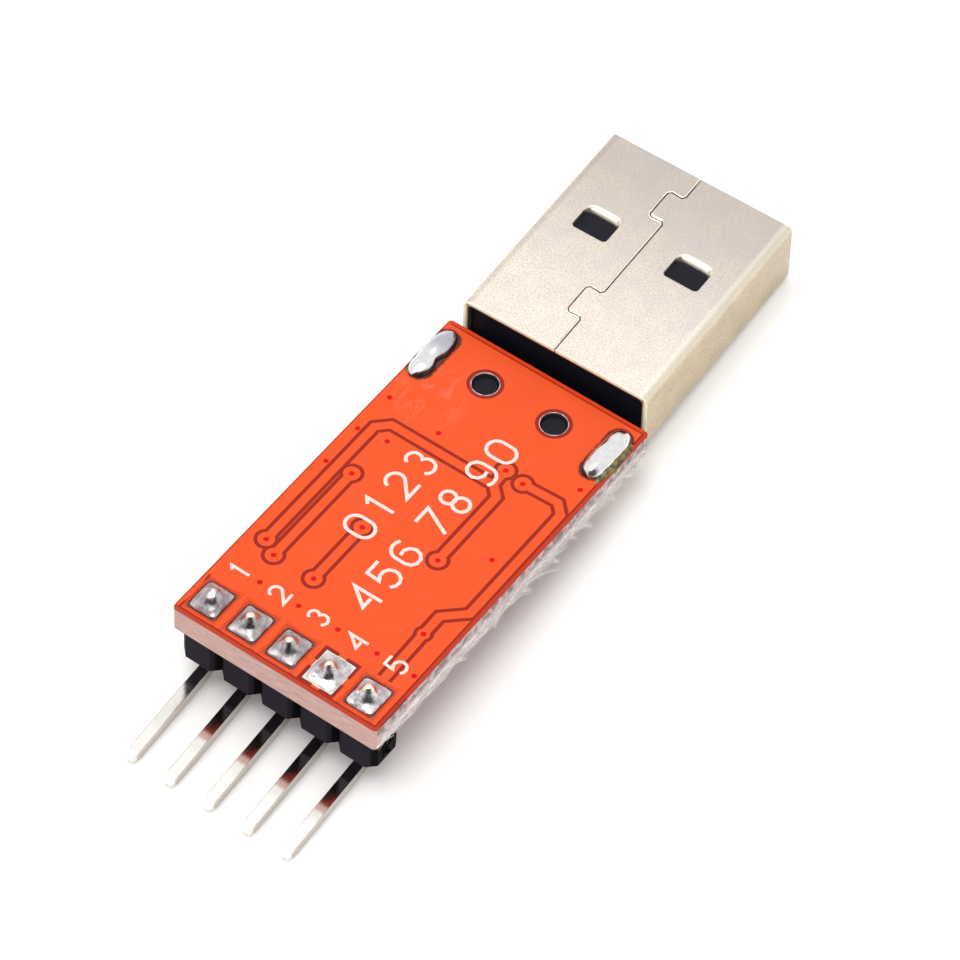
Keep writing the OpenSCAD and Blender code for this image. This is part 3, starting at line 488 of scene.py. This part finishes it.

# %% [markdown]
# ## The plug's sheet
# The shell is one piece of steel sheet with a thin coat of satin nickel. Close up it is not grey: the
# coat has a fine speckle, some grains warm, some pinkish, with dull clouds between. Painted shade darkens
# it towards the mouth and darkens its side faces, and a painted highlight lies along the right fold. Its
# cut rear edge is rough, with a painted highlight along the top and painted shade below. The locking tabs
# were pressed down a little, with a painted highlight where each starts.

# %% Plug sheet
def nickel_sheet():
    f = Finish("nickel_sheet")
    seat = tuple(plug_seat)
    where = f.node("ShaderNodeMapping", {"vector_type": "TEXTURE"}, {
        "Vector": f.node("ShaderNodeTexCoord", {}, {}, "Object"),
        "Location": seat, "Rotation": plug_turn, "Scale": (MM, MM, MM)})
    x, y, z = (where.part(a) for a in range(3))
    speck = grain(f, where, 0.095, 2.0, 0.75)
    tint = grain(f, where + (5.0, 9.0, 2.0), 0.11, 2.0, 0.6)
    cloud = grain(f, where, 1.5, 4.0, 0.62)
    colour = blend(f, above(f, cloud, 0.35, 0.68), (0.90, 0.82, 0.70), (0.78, 0.71, 0.64))
    colour = blend(f, above(f, tint, 0.48, 0.66) * 0.8, colour, (0.72, 0.60, 0.60))
    colour = blend(f, above(f, speck, 0.50, 0.68) * 0.72, colour, (0.50, 0.41, 0.33))
    colour = blend(f, above(f, speck, 0.44, 0.28) * 0.8, colour, (1.0, 0.98, 0.88))
    cool = above(f, grain(f, where + (3.0, 4.0, 0.0), 2.6, 2.0), 0.42, 0.66) * above(f, x, 3.0, 9.0)
    colour = blend(f, cool * 0.35, colour, (0.66, 0.64, 0.70))
    side = above(f, abs(y), 5.6, 5.95)
    # Painted shade: all but the side faces darken towards the mouth.
    colour = blend(f, above(f, x, 1.0, 14.5) * (1.0 - side) * 0.62, colour, (0.42, 0.37, 0.335))
    # Painted shade: the side faces are darker and yellower than the top.
    colour = blend(f, side, colour, stretched(f, colour, (0.735, 0.68, 0.545)))
    # A painted highlight along the right fold.
    painted_fold_highlight = above(f, y + z * 0.9, -5.30, -5.72) - above(f, y, -5.86, -6.0)
    colour = blend(f, painted_fold_highlight * (0.25 + tint * 0.5), colour, (1.0, 0.94, 0.77))
    # The cut rear edge is rough and dull; a painted highlight lights its upper half and the side walls' edges, and
    # painted shade darkens the lower half of the top sheet's edge.
    cut = above(f, abs(x), 0.06, 0.03) * above(f, z, -4.15, -4.0)
    inner = above(f, z, -0.17, -0.25) * above(f, abs(y), 5.9, 5.7)
    colour = blend(f, cut, colour, blend(f, inner, (1.0, 0.98, 0.80), (0.34, 0.25, 0.15)))
    height = speck * 0.45 + cloud * 0.4
    for start in (2.65, 10.72):
        tab = largest(f, abs(x - (start + 1.0)) - 1.0, abs(y - 0.5) - 0.5)
        height = height - above(f, tab, 0.16, -0.26) * 0.7
        # A painted highlight where each tab starts.
        tab_highlight = above(f, largest(f, abs(x - start - 0.06) - 0.09, abs(y - 0.55) - 0.36), 0.05, 0.0)
        colour = blend(f, tab_highlight, colour, (1.0, 0.97, 0.86))
    shape = relief(f, height, 0.018, 0.55, soft_edges(f, 0.07))
    rough = 0.30 + cloud * 0.14 + speck * 0.12 + cut * 0.4
    return f.shade(Base_Color=colour, Metallic=1.0 - cut * 0.8, Roughness=rough, Normal=shape)


sheet_finish = nickel_sheet()
print("finish:", sheet_finish.name, "nodes:", len(sheet_finish.node_tree.nodes))

# %% [markdown]
# ## Pins and contacts
# The pins are square wire with bright tin on it, drawn through a die, so any scratches run along the
# pin. Bending leaves the wire hollow close to the bend, so there its top looks up at the black header
# and mirrors it; leaning the shading normal forward over that stretch does the same. The plug's contacts
# are springs with a gold-coloured coat, worn pale where the socket rubs them.

# %% Pins and contacts
def pin_tin():
    f = Finish("pin_metal")
    where = place_on_board(f)
    drawn = grain(f, stretched(f, where, (0.35, 3.0, 3.0)), 0.12, 3.0, 0.6)
    cloud = grain(f, where, 0.8, 3.0)
    colour = blend(f, cloud, (1.0, 0.97, 0.92), (0.90, 0.87, 0.82))
    # Painted shade: the pins' side faces and edges are darker.
    colour = blend(f, above(f, abs(wrapped(f, where.part(1))), 0.27, 0.31), colour, (0.62, 0.56, 0.51))
    forward = f.node("ShaderNodeCombineXYZ", {}, {0: above(f, where.part(0), -3.6, -1.8) * 0.13})
    shape = relief(f, drawn, 0.004, 0.3, soft_edges(f, 0.04) + forward)
    return f.shade(Base_Color=colour, Metallic=1.0, Roughness=0.06 + drawn * 0.10, Normal=shape)


def contact_gold():
    f = Finish("contact_metal")
    where = place_on_board(f)
    rubbed = grain(f, stretched(f, where, (0.2, 4.0, 1.0)), 0.3, 3.0)
    colour = blend(f, above(f, rubbed, 0.4, 0.7), (0.83, 0.64, 0.33), (0.86, 0.78, 0.60))
    shape = relief(f, rubbed, 0.006, 0.4, soft_edges(f, 0.04))
    return f.shade(Base_Color=colour, Metallic=1.0, Roughness=0.16 + rubbed * 0.14, Normal=shape)


pin_finish, contact_finish = pin_tin(), contact_gold()
print("finishes:", pin_finish.name, contact_finish.name)

# %% [markdown]
# ## Moulded plastic and ceramic
# Header, insulator and chip are moulded black plastic, each with its own grain: the header is slightly
# blue and smooth, the chip has the even matt of an etched mould. The small parts are glazed or cast.
# One function serves them all, with a tone, a second tone for its clouds, a grain and a gloss.

# %% Plastic and ceramic
def moulded(name, tone, second, size, depth, rough, edge=0.04, shade_notches=False, gloss=0.12):
    f = Finish(name)
    where = place_on_board(f)
    cloud = grain(f, where, 1.1, 3.0)
    texture = grain(f, where, size, 3.0, 0.6)
    colour = blend(f, cloud * 0.6 + texture * 0.4, tone, second)
    # Painted shade: the notches between the header's blocks are near black.
    if shade_notches:
        notch_shade = above(f, abs(wrapped(f, where.part(1))), 0.94, 1.06)
        colour = blend(f, notch_shade, colour, (0.0006, 0.0005, 0.0008))
    shape = relief(f, texture, depth, 0.6, soft_edges(f, edge))
    return f.shade(Base_Color=colour, Roughness=rough + texture * 0.2, Specular_IOR_Level=gloss, Normal=shape)


plastics = {
    "header_plastic": moulded("header_plastic", (0.013, 0.0100, 0.0165), (0.020, 0.0160, 0.0255), 0.10, 0.008, 0.45, shade_notches=True,
                              gloss=0.035),
    "insulator_plastic": moulded("insulator_plastic", (0.006, 0.006, 0.010), (0.014, 0.013, 0.021), 0.12, 0.006, 0.38),
    "chip_plastic": moulded("chip_plastic", (0.016, 0.016, 0.017), (0.034, 0.034, 0.036), 0.05, 0.012, 0.48),
    "ceramic_grey": moulded("ceramic_grey", (0.15, 0.14, 0.12), (0.24, 0.22, 0.19), 0.08, 0.006, 0.35),
    "ceramic_tan": moulded("ceramic_tan", (0.33, 0.20, 0.11), (0.46, 0.31, 0.19), 0.07, 0.008, 0.40, 0.06),
    "resistor_black": moulded("resistor_black", (0.012, 0.012, 0.015), (0.03, 0.03, 0.034), 0.09, 0.005, 0.22, 0.04),
    "lamp_base": moulded("lamp_base", (0.72, 0.70, 0.63), (0.82, 0.80, 0.74), 0.08, 0.004, 0.45),
    "lamp_lens": moulded("lamp_lens", (0.70, 0.76, 0.62), (0.84, 0.88, 0.78), 0.20, 0.004, 0.12, 0.05),
    "fuse_green": moulded("fuse_green", (0.045, 0.20, 0.07), (0.085, 0.30, 0.12), 0.09, 0.006, 0.22, 0.06),
}
lid = tinned("lid_metal", (0.82, 0.78, 0.68), (0.70, 0.66, 0.58), 0.24, 0.5)
lamp_gold = tinned("lamp_contact", (0.86, 0.72, 0.40), (0.76, 0.60, 0.32), 0.22, 0.3)
print("plastics:", len(plastics))

# %% [markdown]
# ## Dressing the solids
# The record of the part names a material slot for every solid. A table from slot to finish is all that
# is needed: each solid already carries its slot's name, and swapping the material in its slot leaves
# its shape alone.

# %% Dress the solids
finishes = {
    "laminate": laminate_finish, "copper": foil, "plating": plated, "red_lacquer": red_lacquer,
    "white_print": print_finish, "pin_metal": pin_finish, "solder": solder, "nickel_sheet": sheet_finish,
    "contact_metal": contact_finish, "lead_metal": lead_tin, "lid_metal": lid, "end_metal": cap_tin,
    "lamp_contact": lamp_gold, **plastics}
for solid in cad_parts.values():
    for slot in solid.material_slots:
        slot.material = finishes[slot.material.name.split(".")[0]]
print("dressed:", len(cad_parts), "solids in", len(finishes), "finishes")

# %% [markdown]
# ## Modelling from a sheet of points
# Solder, flux and torn plastic have no straight edges. Each is made as a square sheet of points, whose
# sides run from -1 to 1, and a function says where each point goes. It is a potter's way of working:
# start with a flat slab, pull its edge to the outline, then push up the middle. The sheet keeps even
# quads, which shade smoothly.

# %% Sheets of points
def sculpt(name, steps, shape, material, across=None):
    """Makes a piece from a sheet of steps by across points; shape(s, t) gives each in board mm."""
    across = across or steps
    points = [on_board(*shape(-1 + 2 * i / steps, -1 + 2 * j / across))
              for i in range(steps + 1) for j in range(across + 1)]
    quads = [(i * (across + 1) + j, (i + 1) * (across + 1) + j, (i + 1) * (across + 1) + j + 1,
              i * (across + 1) + j + 1) for i in range(steps) for j in range(across)]
    return new_piece(name, points, quads, material)


def new_piece(name, points, faces, material, smooth=True):
    mesh = bpy.data.meshes.new(name)
    mesh.from_pydata([tuple(p) for p in points], [], faces)
    mesh.materials.append(material)
    mesh.shade_smooth() if smooth else mesh.shade_flat()
    piece = bpy.data.objects.new(name, mesh)
    bpy.context.scene.collection.objects.link(piece)
    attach(piece, "root")
    return piece


def lumps(x, y, size, seed):
    return noise.noise(Vector((x / size, y / size, seed * 7.31)))


print("sheet tools ready")

# %% [markdown]
# ## The five pin joints
# A good solder joint is a small tent: the solder climbs the pin, falls in a hollow curve and runs out to
# the pad's four corners, while between the corners its edge draws in. The corner points come from
# bending the sheet's sides inwards, the tent from a steep hill over a low cushion. No two joints froze
# alike, so each has its own lean and its own lumps, and the fourth, on the wide copper that drank its
# heat, covers only the middle of its pad.

# %% Pin joints
def tent(i, spread, lean_x, lean_y, height):
    """The joint of pin i: how far the cushion spreads, where its top leans and how high it is."""
    drawn_in = 0.0 if i == 3 else 0.08

    def shape(s, t):
        blunt = 1 - 0.15 * abs(s * t) ** 3 + 0.03 * lumps(s, t, 0.5, i + 20)
        x = 1.05 * s * (1 - drawn_in * (1 - t * t)) * blunt
        y = 0.92 * t * (1 - drawn_in * (1 - s * s)) * blunt
        edge = max(0.0, (1 - s * s) * (1 - t * t))
        out = math.hypot(x - lean_x, y - lean_y)
        hill = height / (1 + (out / (0.58 if i == 0 else 0.42)) ** 3.2)
        ridge = 0.10 * (s * s * t * t) ** 0.6 * edge ** 0.3
        cushion = spread * edge ** 0.45
        z = 0.036 + cushion + ridge + hill * min(1.0, edge * 3.0) ** 0.5
        z += lumps(x, y, 0.42, i) * 0.07 * edge ** 0.5 + lumps(x, y, 0.16, i + 9) * 0.012 * edge ** 0.4
        return 1.6 + x, pin_y(i) + y, max(z, 0.034 if edge > 0 else 0.012)
    return shape


leanings = [(0.12, 0.04, 0.0, 0.62), (0.11, 0.02, 0.02, 0.74), (0.09, 0.0, 0.02, 0.76),
            (0.006, 0.0, 0.0, 0.86), (0.09, 0.0, 0.02, 0.82)]
joints = []
for i, leaning in enumerate(leanings):
    joint = sculpt("pin_joint_%d" % (i + 1), 44, tent(i, *leaning), dull_solder if i < 3 else light_solder)
    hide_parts("header_solder")
    joints.append(joint)
print("pin joints:", len(joints), "highest in mm:",
      round(max(v.co.z for j in joints for v in j.data.vertices) / MM - BACK / MM, 2))

# %% [markdown]
# ## The plug's two joints
# Each leg of the plug stands in a slot, and a long bead of solder closes it. The bead is bean-shaped,
# fat at both ends and pinched on the inner side where the iron was pulled away. The square sheet is
# first rounded into a disc, then its two halves are drawn apart, and its dome follows the disc's height.

# %% Plug joints
def bead(side, half_l, half_w, pinch, pinch_at, seed, high, middle):
    """The bead on one side (1 left, -1 right), pinched on its inner side at pinch_at along its length."""
    def shape(s, t):
        dx, dy = s * math.sqrt(1 - t * t / 2), t * math.sqrt(1 - s * s / 2)
        drawn_apart = math.tanh(2.0 * dx) / math.tanh(2.0)
        x, y = half_w * dx + (half_l - half_w) * drawn_apart, half_w * dy
        inner = max(0.0, -dy * side)
        y += side * pinch * inner * math.exp(-((x - pinch_at) / 0.42) ** 2)
        edge = max(0.0, 1 - dx * dx - dy * dy)
        z = 0.036 + high * edge ** 0.5 * (1 - 0.10 * math.exp(-((x - pinch_at) / 0.5) ** 2))
        z += (lumps(x, y, 0.9, seed) * 0.10 + lumps(x, y, 0.3, seed + 3) * 0.015) * edge ** 0.5
        return 22.1 + x, LINE_Y + side * middle + y, max(z, 0.02)
    return shape


left_bead = sculpt("plug_joint_left", 56, bead(1, 1.92, 0.72, 0.22, -0.25, 21, 0.44, 5.75), bead_solder)
right_bead = sculpt("plug_joint_right", 56, bead(-1, 1.90, 0.70, 0.03, 0.5, 34, 0.56, 5.72), bead_solder)
for one in (left_bead, right_bead):
    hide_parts("leg_solder")
print("plug joints:", [o.name for o in (left_bead, right_bead)])

# %% [markdown]
# ## Baked flux
# The flux that ran off the beads lies between them and the board's edges, as a glassy olive film with
# dark burnt crumbs. It is a low cushion of its own, because it has another gloss and colour than tin.

# %% Flux
def flux_finish():
    f = Finish("baked_flux")
    where = place_on_board(f)
    cloud = grain(f, where, 0.35, 4.0, 0.6)
    crumbs = above(f, grain(f, where, 0.14, 3.0, 0.65), 0.56, 0.70)
    colour = blend(f, above(f, cloud, 0.34, 0.64), (0.035, 0.022, 0.005), (0.21, 0.17, 0.045))
    colour = blend(f, crumbs * 0.85, colour, (0.020, 0.012, 0.005))
    return f.shade(Base_Color=colour, Roughness=0.16 + crumbs * 0.4, IOR=1.5,
                   Normal=relief(f, cloud + crumbs, 0.03, 0.5))


def puddle(side, middle, half_l, half_w, high, seed):
    def shape(s, t):
        dx, dy = s * math.sqrt(1 - t * t / 2), t * math.sqrt(1 - s * s / 2)
        x, y = half_l * dx, half_w * dy
        edge = max(0.0, 1 - dx * dx - dy * dy)
        ragged = 1 + 0.16 * lumps(x, y, 0.5, seed)
        y = side * min(abs(side * 6.22 + y * ragged), 6.59)
        z = 0.028 + (high + 0.05 * lumps(x, y, 0.3, seed)) * edge ** 0.55
        return middle + x * ragged, y, z
    return shape


baked_flux = flux_finish()
flux_left = sculpt("flux_left", 36, puddle(1, 22.0, 1.85, 0.42, 0.26, 51), baked_flux)
flux_right = sculpt("flux_right", 36, puddle(-1, 21.9, 1.70, 0.38, 0.22, 62), baked_flux)
print("flux:", flux_left.name, flux_right.name)

# %% [markdown]
# ## Torn glass fibres
# Along the right edge the cutter left the cloth's glass threads hanging out, mostly lying along the lower
# edge, in places sticking together in little drooping tufts. Each is a thin three-sided tube along a
# wandering line. A seeded random generator scatters them, so the same ones come back on every run.

# %% Glass fibres
def tube(points, faces, line, thick):
    """Adds a three-sided tube along a line of points in board mm, thinning to its end."""
    first = len(points)
    for k, spot in enumerate(line):
        size = thick * (1.0 - 0.75 * k / (len(line) - 1))
        for corner in range(3):
            turn = corner * 2 * math.pi / 3
            points.append(on_board(spot[0], spot[1] + size * math.cos(turn), spot[2] + size * math.sin(turn)))
    for k in range(len(line) - 1):
        for corner in range(3):
            a, b = first + 3 * k + corner, first + 3 * k + (corner + 1) % 3
            faces.append((a, b, b + 3, a + 3))


def glass(name, light, dark):
    f = Finish(name)
    where = place_on_board(f)
    colour = blend(f, above(f, grain(f, where, 0.3, 2.0), 0.35, 0.65), light, dark)
    return f.shade(Base_Color=colour, Roughness=0.35 + grain(f, where, 0.05) * 0.2, IOR=1.5)


dice = random.Random(4212)
points, faces = [], []
OUTMOST = BOARD_W / 2 + 0.37


def thread(x, z, length, outward, droop, thick):
    line, y = [], -BOARD_W / 2 + 0.02
    heading = dice.choice((-1, 1)) * length
    if not 0.2 < x + heading < BOARD_L - 0.2:
        heading = -heading
    for k in range(7):
        share = k / 6
        line.append((x + heading * share + dice.uniform(-0.02, 0.02),
                     max(y - outward * share ** 1.4 + dice.uniform(-0.012, 0.012), -OUTMOST),
                     z - droop * share * share + dice.uniform(-0.015, 0.015)))
    tube(points, faces, line, thick)


def wisp(x, count, tip_x, droop):
    """A tuft: threads from a stretch of the edge that stick together in one drooping point."""
    for _ in range(count):
        start, low = x + dice.gauss(0, 0.32), dice.uniform(-1.6, -0.9)
        end, fall = tip_x + dice.gauss(0, 0.11), droop * dice.uniform(0.6, 1.1)
        line = []
        for k in range(7):
            share = k / 6
            line.append((start + (end - start) * share ** 0.8, -BOARD_W / 2 - 0.36 * share ** 1.2 + dice.uniform(-0.01, 0.01),
                         low + (-1.5 - fall - low) * share ** 1.3))
        tube(points, faces, line, dice.uniform(0.013, 0.026))


for _ in range(300):
    thread(dice.uniform(0.4, 24.2), dice.uniform(-1.6, -0.7), dice.uniform(0.4, 1.6),
           abs(dice.gauss(0.0, 0.07)), dice.uniform(-0.04, 0.10), dice.uniform(0.010, 0.024))
for _ in range(260):
    thread(dice.uniform(0.4, 24.2), dice.uniform(-1.6, -1.35), dice.uniform(0.5, 1.8),
           dice.uniform(0.02, 0.24), dice.uniform(0.0, 0.22), dice.uniform(0.014, 0.030))
for x, count, tip_x, droop in ((23.9, 10, 24.5, -0.5), (23.2, 22, 24.0, 0.15), (22.4, 16, 22.9, 0.0), (20.5, 22, 21.2, 0.45),
                               (20.1, 12, 20.3, 0.1), (18.3, 26, 18.9, 0.5), (17.2, 14, 17.6, 0.1), (15.4, 24, 15.9, 0.5),
                               (14.3, 12, 14.2, 0.2), (12.7, 20, 13.3, 0.3), (10.6, 12, 10.2, 0.1), (7.0, 10, 7.6, 0.05)):
    wisp(x, count, tip_x, droop)
wisp(12.6, 4, 16.2, 1.7)
fibre_finish = glass("glass_fibre", (1.0, 0.98, 0.97), (0.86, 0.79, 0.77))
fibres_piece = new_piece("torn_fibres", points, faces, fibre_finish)
print("fibres:", len(faces) // 18, "triangles:", len(faces) * 2)

# %% [markdown]
# ## Small things of the back
# The peg holes were drilled after the lacquer, which left a thin raised burr round each. The insulator's
# pegs were melted a little as they were pressed home, and fill the holes with a low dome, painted a darker
# black than the insulator as the shade deep in the hole. The header's right end is torn: the strip was
# snapped from a longer one, and the break is a ragged bulge.

# %% Burrs and the torn end
def ring(name, x, y, radius, thick, material):
    """A burr of 72 by 8 points round a hole, uneven in height."""
    around, tubes = 72, 8
    spots = []
    for i in range(around):
        turn = 2 * math.pi * i / around
        fat = thick * (1 + 0.7 * lumps(math.cos(turn), math.sin(turn), 0.6, x + y))
        for j in range(tubes):
            bend = 2 * math.pi * j / tubes
            out = radius + fat * math.cos(bend)
            spots.append(on_board(x + out * math.cos(turn), y + out * math.sin(turn), 0.036 + fat * 1.3 * math.sin(bend)))
    quads = [(i * tubes + j, (i + 1) % around * tubes + j, (i + 1) % around * tubes + (j + 1) % tubes,
              i * tubes + (j + 1) % tubes) for i in range(around) for j in range(tubes)]
    return new_piece(name, spots, quads, material)


burr_finish = glass("drill_burr", (0.66, 0.56, 0.55), (0.34, 0.24, 0.23))
burrs = [ring("hole_burr_%d" % n, 22.12, LINE_Y + side * 2.27, 0.79, 0.024, burr_finish)
         for n, side in ((1, 1), (2, -1))]


def peg_end(side):
    def shape(s, t):
        dx, dy = s * math.sqrt(1 - t * t / 2), t * math.sqrt(1 - s * s / 2)
        high = max(0.0, 1 - dx * dx - dy * dy) ** 0.5
        z = -0.62 + 0.24 * high + 0.06 * lumps(dx, dy, 0.35, 5 + side)
        return 22.12 + 0.755 * dx, LINE_Y + side * 2.27 + 0.755 * dy, z
    return shape


# The peg ends are painted a darker black than the insulator, as the shade deep in the hole.
peg_shaded_black = moulded("peg_shaded_black", (0.0004, 0.0003, 0.0006), (0.0030, 0.0022, 0.0028), 0.16, 0.02, 0.50, gloss=0.02)
pegs = [sculpt("peg_end_%d" % n, 24, peg_end(side), peg_shaded_black) for n, side in ((1, 1), (2, -1))]


def torn(s, t):
    x, z = 0.42 * s, 0.95 * t
    edge = max(0.0, (1 - s ** 4) * (1 - t ** 4))
    rag = 0.15 + 0.34 * lumps(x, z, 0.50, 77) + 0.04 * lumps(x, z, 0.20, 78)
    return 1.6 + 0.15 + x, LINE_Y - 2.5 * PITCH - max(rag, 0.02) * edge ** 0.4 + 0.01, -2.95 + z


tear = sculpt("torn_end", 30, torn, plastics["header_plastic"])
print("burrs, pegs and tear:", [o.name for o in (*burrs, *pegs, tear)])

# %% [markdown]
# ## The bright lip of the seam
# Where the shell's two edges meet, the shears left the edge of the lower sheet standing a hair proud, and
# that rolled lip shines. It is a thin round ribbon that follows the seam, tabs and all, on the side
# of the left half. The same points that draw the seam give its path, in the plug's own millimetres. The
# punch did the same to the front edge of every window: there the sheet rolls down into the hole.

# %% Seam lip
def on_plug(x, y, z):
    turned = Matrix.Rotation(plug_turn[2], 3, "Z") @ Matrix.Rotation(plug_turn[1], 3, "Y")
    return plug_seat + turned @ Vector((x, y, z)) * MM


def tab_path(x):
    return [(x - 0.2, 0), (x, 0.15), (x - 0.05, 0.82), (x + 0.13, 1.0), (x + 1.87, 1.0), (x + 2.05, 0.82),
            (x + 2.0, 0.15), (x + 2.2, 0)]


path = [(0.02, 0.0)] + tab_path(2.65) + tab_path(10.72) + [(14.42, 0.0)]
spots = []
for a, b in zip(path, path[1:]):
    steps = max(1, round(math.dist(a, b) / 0.12))
    spots += [(a[0] + (b[0] - a[0]) * k / steps, a[1] + (b[1] - a[1]) * k / steps) for k in range(steps)]
spots.append(path[-1])
ROUND = 8
points = []
for k, (x, y) in enumerate(spots):
    before, after = spots[max(k - 1, 0)], spots[min(k + 1, len(spots) - 1)]
    run_x, run_y = after[0] - before[0], after[1] - before[1]
    size = math.hypot(run_x, run_y)
    side_x, side_y = -run_y / size, run_x / size
    wide = 0.055 * (1 + 0.4 * lumps(x, y, 0.6, 91))
    for j in range(ROUND):
        bend = 2 * math.pi * j / ROUND
        out = 0.085 + wide * math.cos(bend)
        points.append(on_plug(x + side_x * out, y + side_y * out, 0.004 + 0.022 * math.sin(bend)))
faces = [(k * ROUND + j, (k + 1) * ROUND + j, (k + 1) * ROUND + (j + 1) % ROUND, k * ROUND + (j + 1) % ROUND)
         for k in range(len(spots) - 1) for j in range(ROUND)]
lip_finish = tinned("bright_lip", (0.90, 0.85, 0.72), (0.80, 0.72, 0.58), 0.30, 0.3)
seam_lip = new_piece("seam_lip", points, faces, lip_finish)


def window_lip(name, side, under):
    """The rolled front edge of a window: side is 1 left or -1 right, under is 1 for the sheet below."""
    points, along, down = [], 36, 8
    for i in range(along + 1):
        s = -1 + 2 * i / along
        for j in range(down + 1):
            roll = j / down * math.pi / 2
            far_x, near_x = 8.97 + 0.66 * (1 - abs(s) ** 7), 8.97 + 0.22 * (1 - abs(s) ** 6)
            x = far_x + (near_x - far_x) * math.sin(roll)
            y = s * (1.17 - 0.07 * math.sin(roll))
            z = 0.006 - 0.30 * (1 - math.cos(roll))
            points.append(on_plug(x, side * 3.0 + y, -4.5 - z if under else z))
    quads = [(i * (down + 1) + j, (i + 1) * (down + 1) + j, (i + 1) * (down + 1) + j + 1, i * (down + 1) + j + 1)
             for i in range(along) for j in range(down)]
    return new_piece(name, points, quads, lip_finish)


window_lips = [window_lip("window_lip_%d" % n, side, under) for n, side, under in
               ((1, 1, 0), (2, -1, 0), (3, 1, 1), (4, -1, 1))]
print("seam lip:", len(faces), "faces; window lips:", len(window_lips))

# %% [markdown]
# ## Solder of the small parts
# On the hidden side every lead of the chip and every end of the small parts sits in a little wedge of
# solder. One wedge shape serves them all: a quarter of a cushion that climbs the end and runs out on the
# pad, placed once for each end.

# %% Small joints
def wedge(points, faces, x, y, toward, width, reach, climb):
    """A wedge against an end face at x, y that looks along toward, with the solids underneath."""
    steps, first = 6, len(points)
    ux, uy = toward
    for i in range(steps + 1):
        for j in range(steps + 1):
            out, side = i / steps, -1 + 2 * j / steps
            taper = 1 - 0.35 * out * out
            high = climb * (1 - out) ** 1.9 * (1 - 0.35 * side ** 4) + 0.012
            sx, sy = out * reach, side * width / 2 * taper
            points.append(on_board(x + ux * sx - uy * sy, y + uy * sx + ux * sy, -1.6 - 0.034 - high))
    for i in range(steps):
        for j in range(steps):
            a = first + i * (steps + 1) + j
            faces.append((a, a + 1, a + steps + 2, a + steps + 1))


points, faces = [], []
for k in range(14):
    for side in (-1, 1):
        lead_x = 10.2 + (k - 6.5) * 0.65
        wedge(points, faces, lead_x, side * 3.86, (0, side), 0.34, 0.22, 0.13)
EDGE_ROW = BOARD_W / 2 - 1.4
rows = [(4.4, 0.25 - EDGE_ROW, 0.60), (8.6, -EDGE_ROW, 0.60), (11.1, -EDGE_ROW, 0.60), (14.0, -EDGE_ROW, 0.60),
        (13.6, EDGE_ROW, 0.38), (16.1, EDGE_ROW, 0.38), (18.6, EDGE_ROW, 0.38), (4.4, EDGE_ROW, 0.26),
        (8.3, EDGE_ROW, 0.26), (10.8, EDGE_ROW, 0.26)]
for x, y, climb in rows:
    for side in (-1, 1):
        wedge(points, faces, x + side * 0.79, y, (side, 0), 0.78, 0.24, climb)
for side in (-1, 1):
    wedge(points, faces, 17.3 + side * 1.59, 0.15 - EDGE_ROW, (side, 0), 1.5, 0.26, 0.55)
small_joints = new_piece("small_joints", points, faces, solder)
print("small joints:", len(faces) // 36)
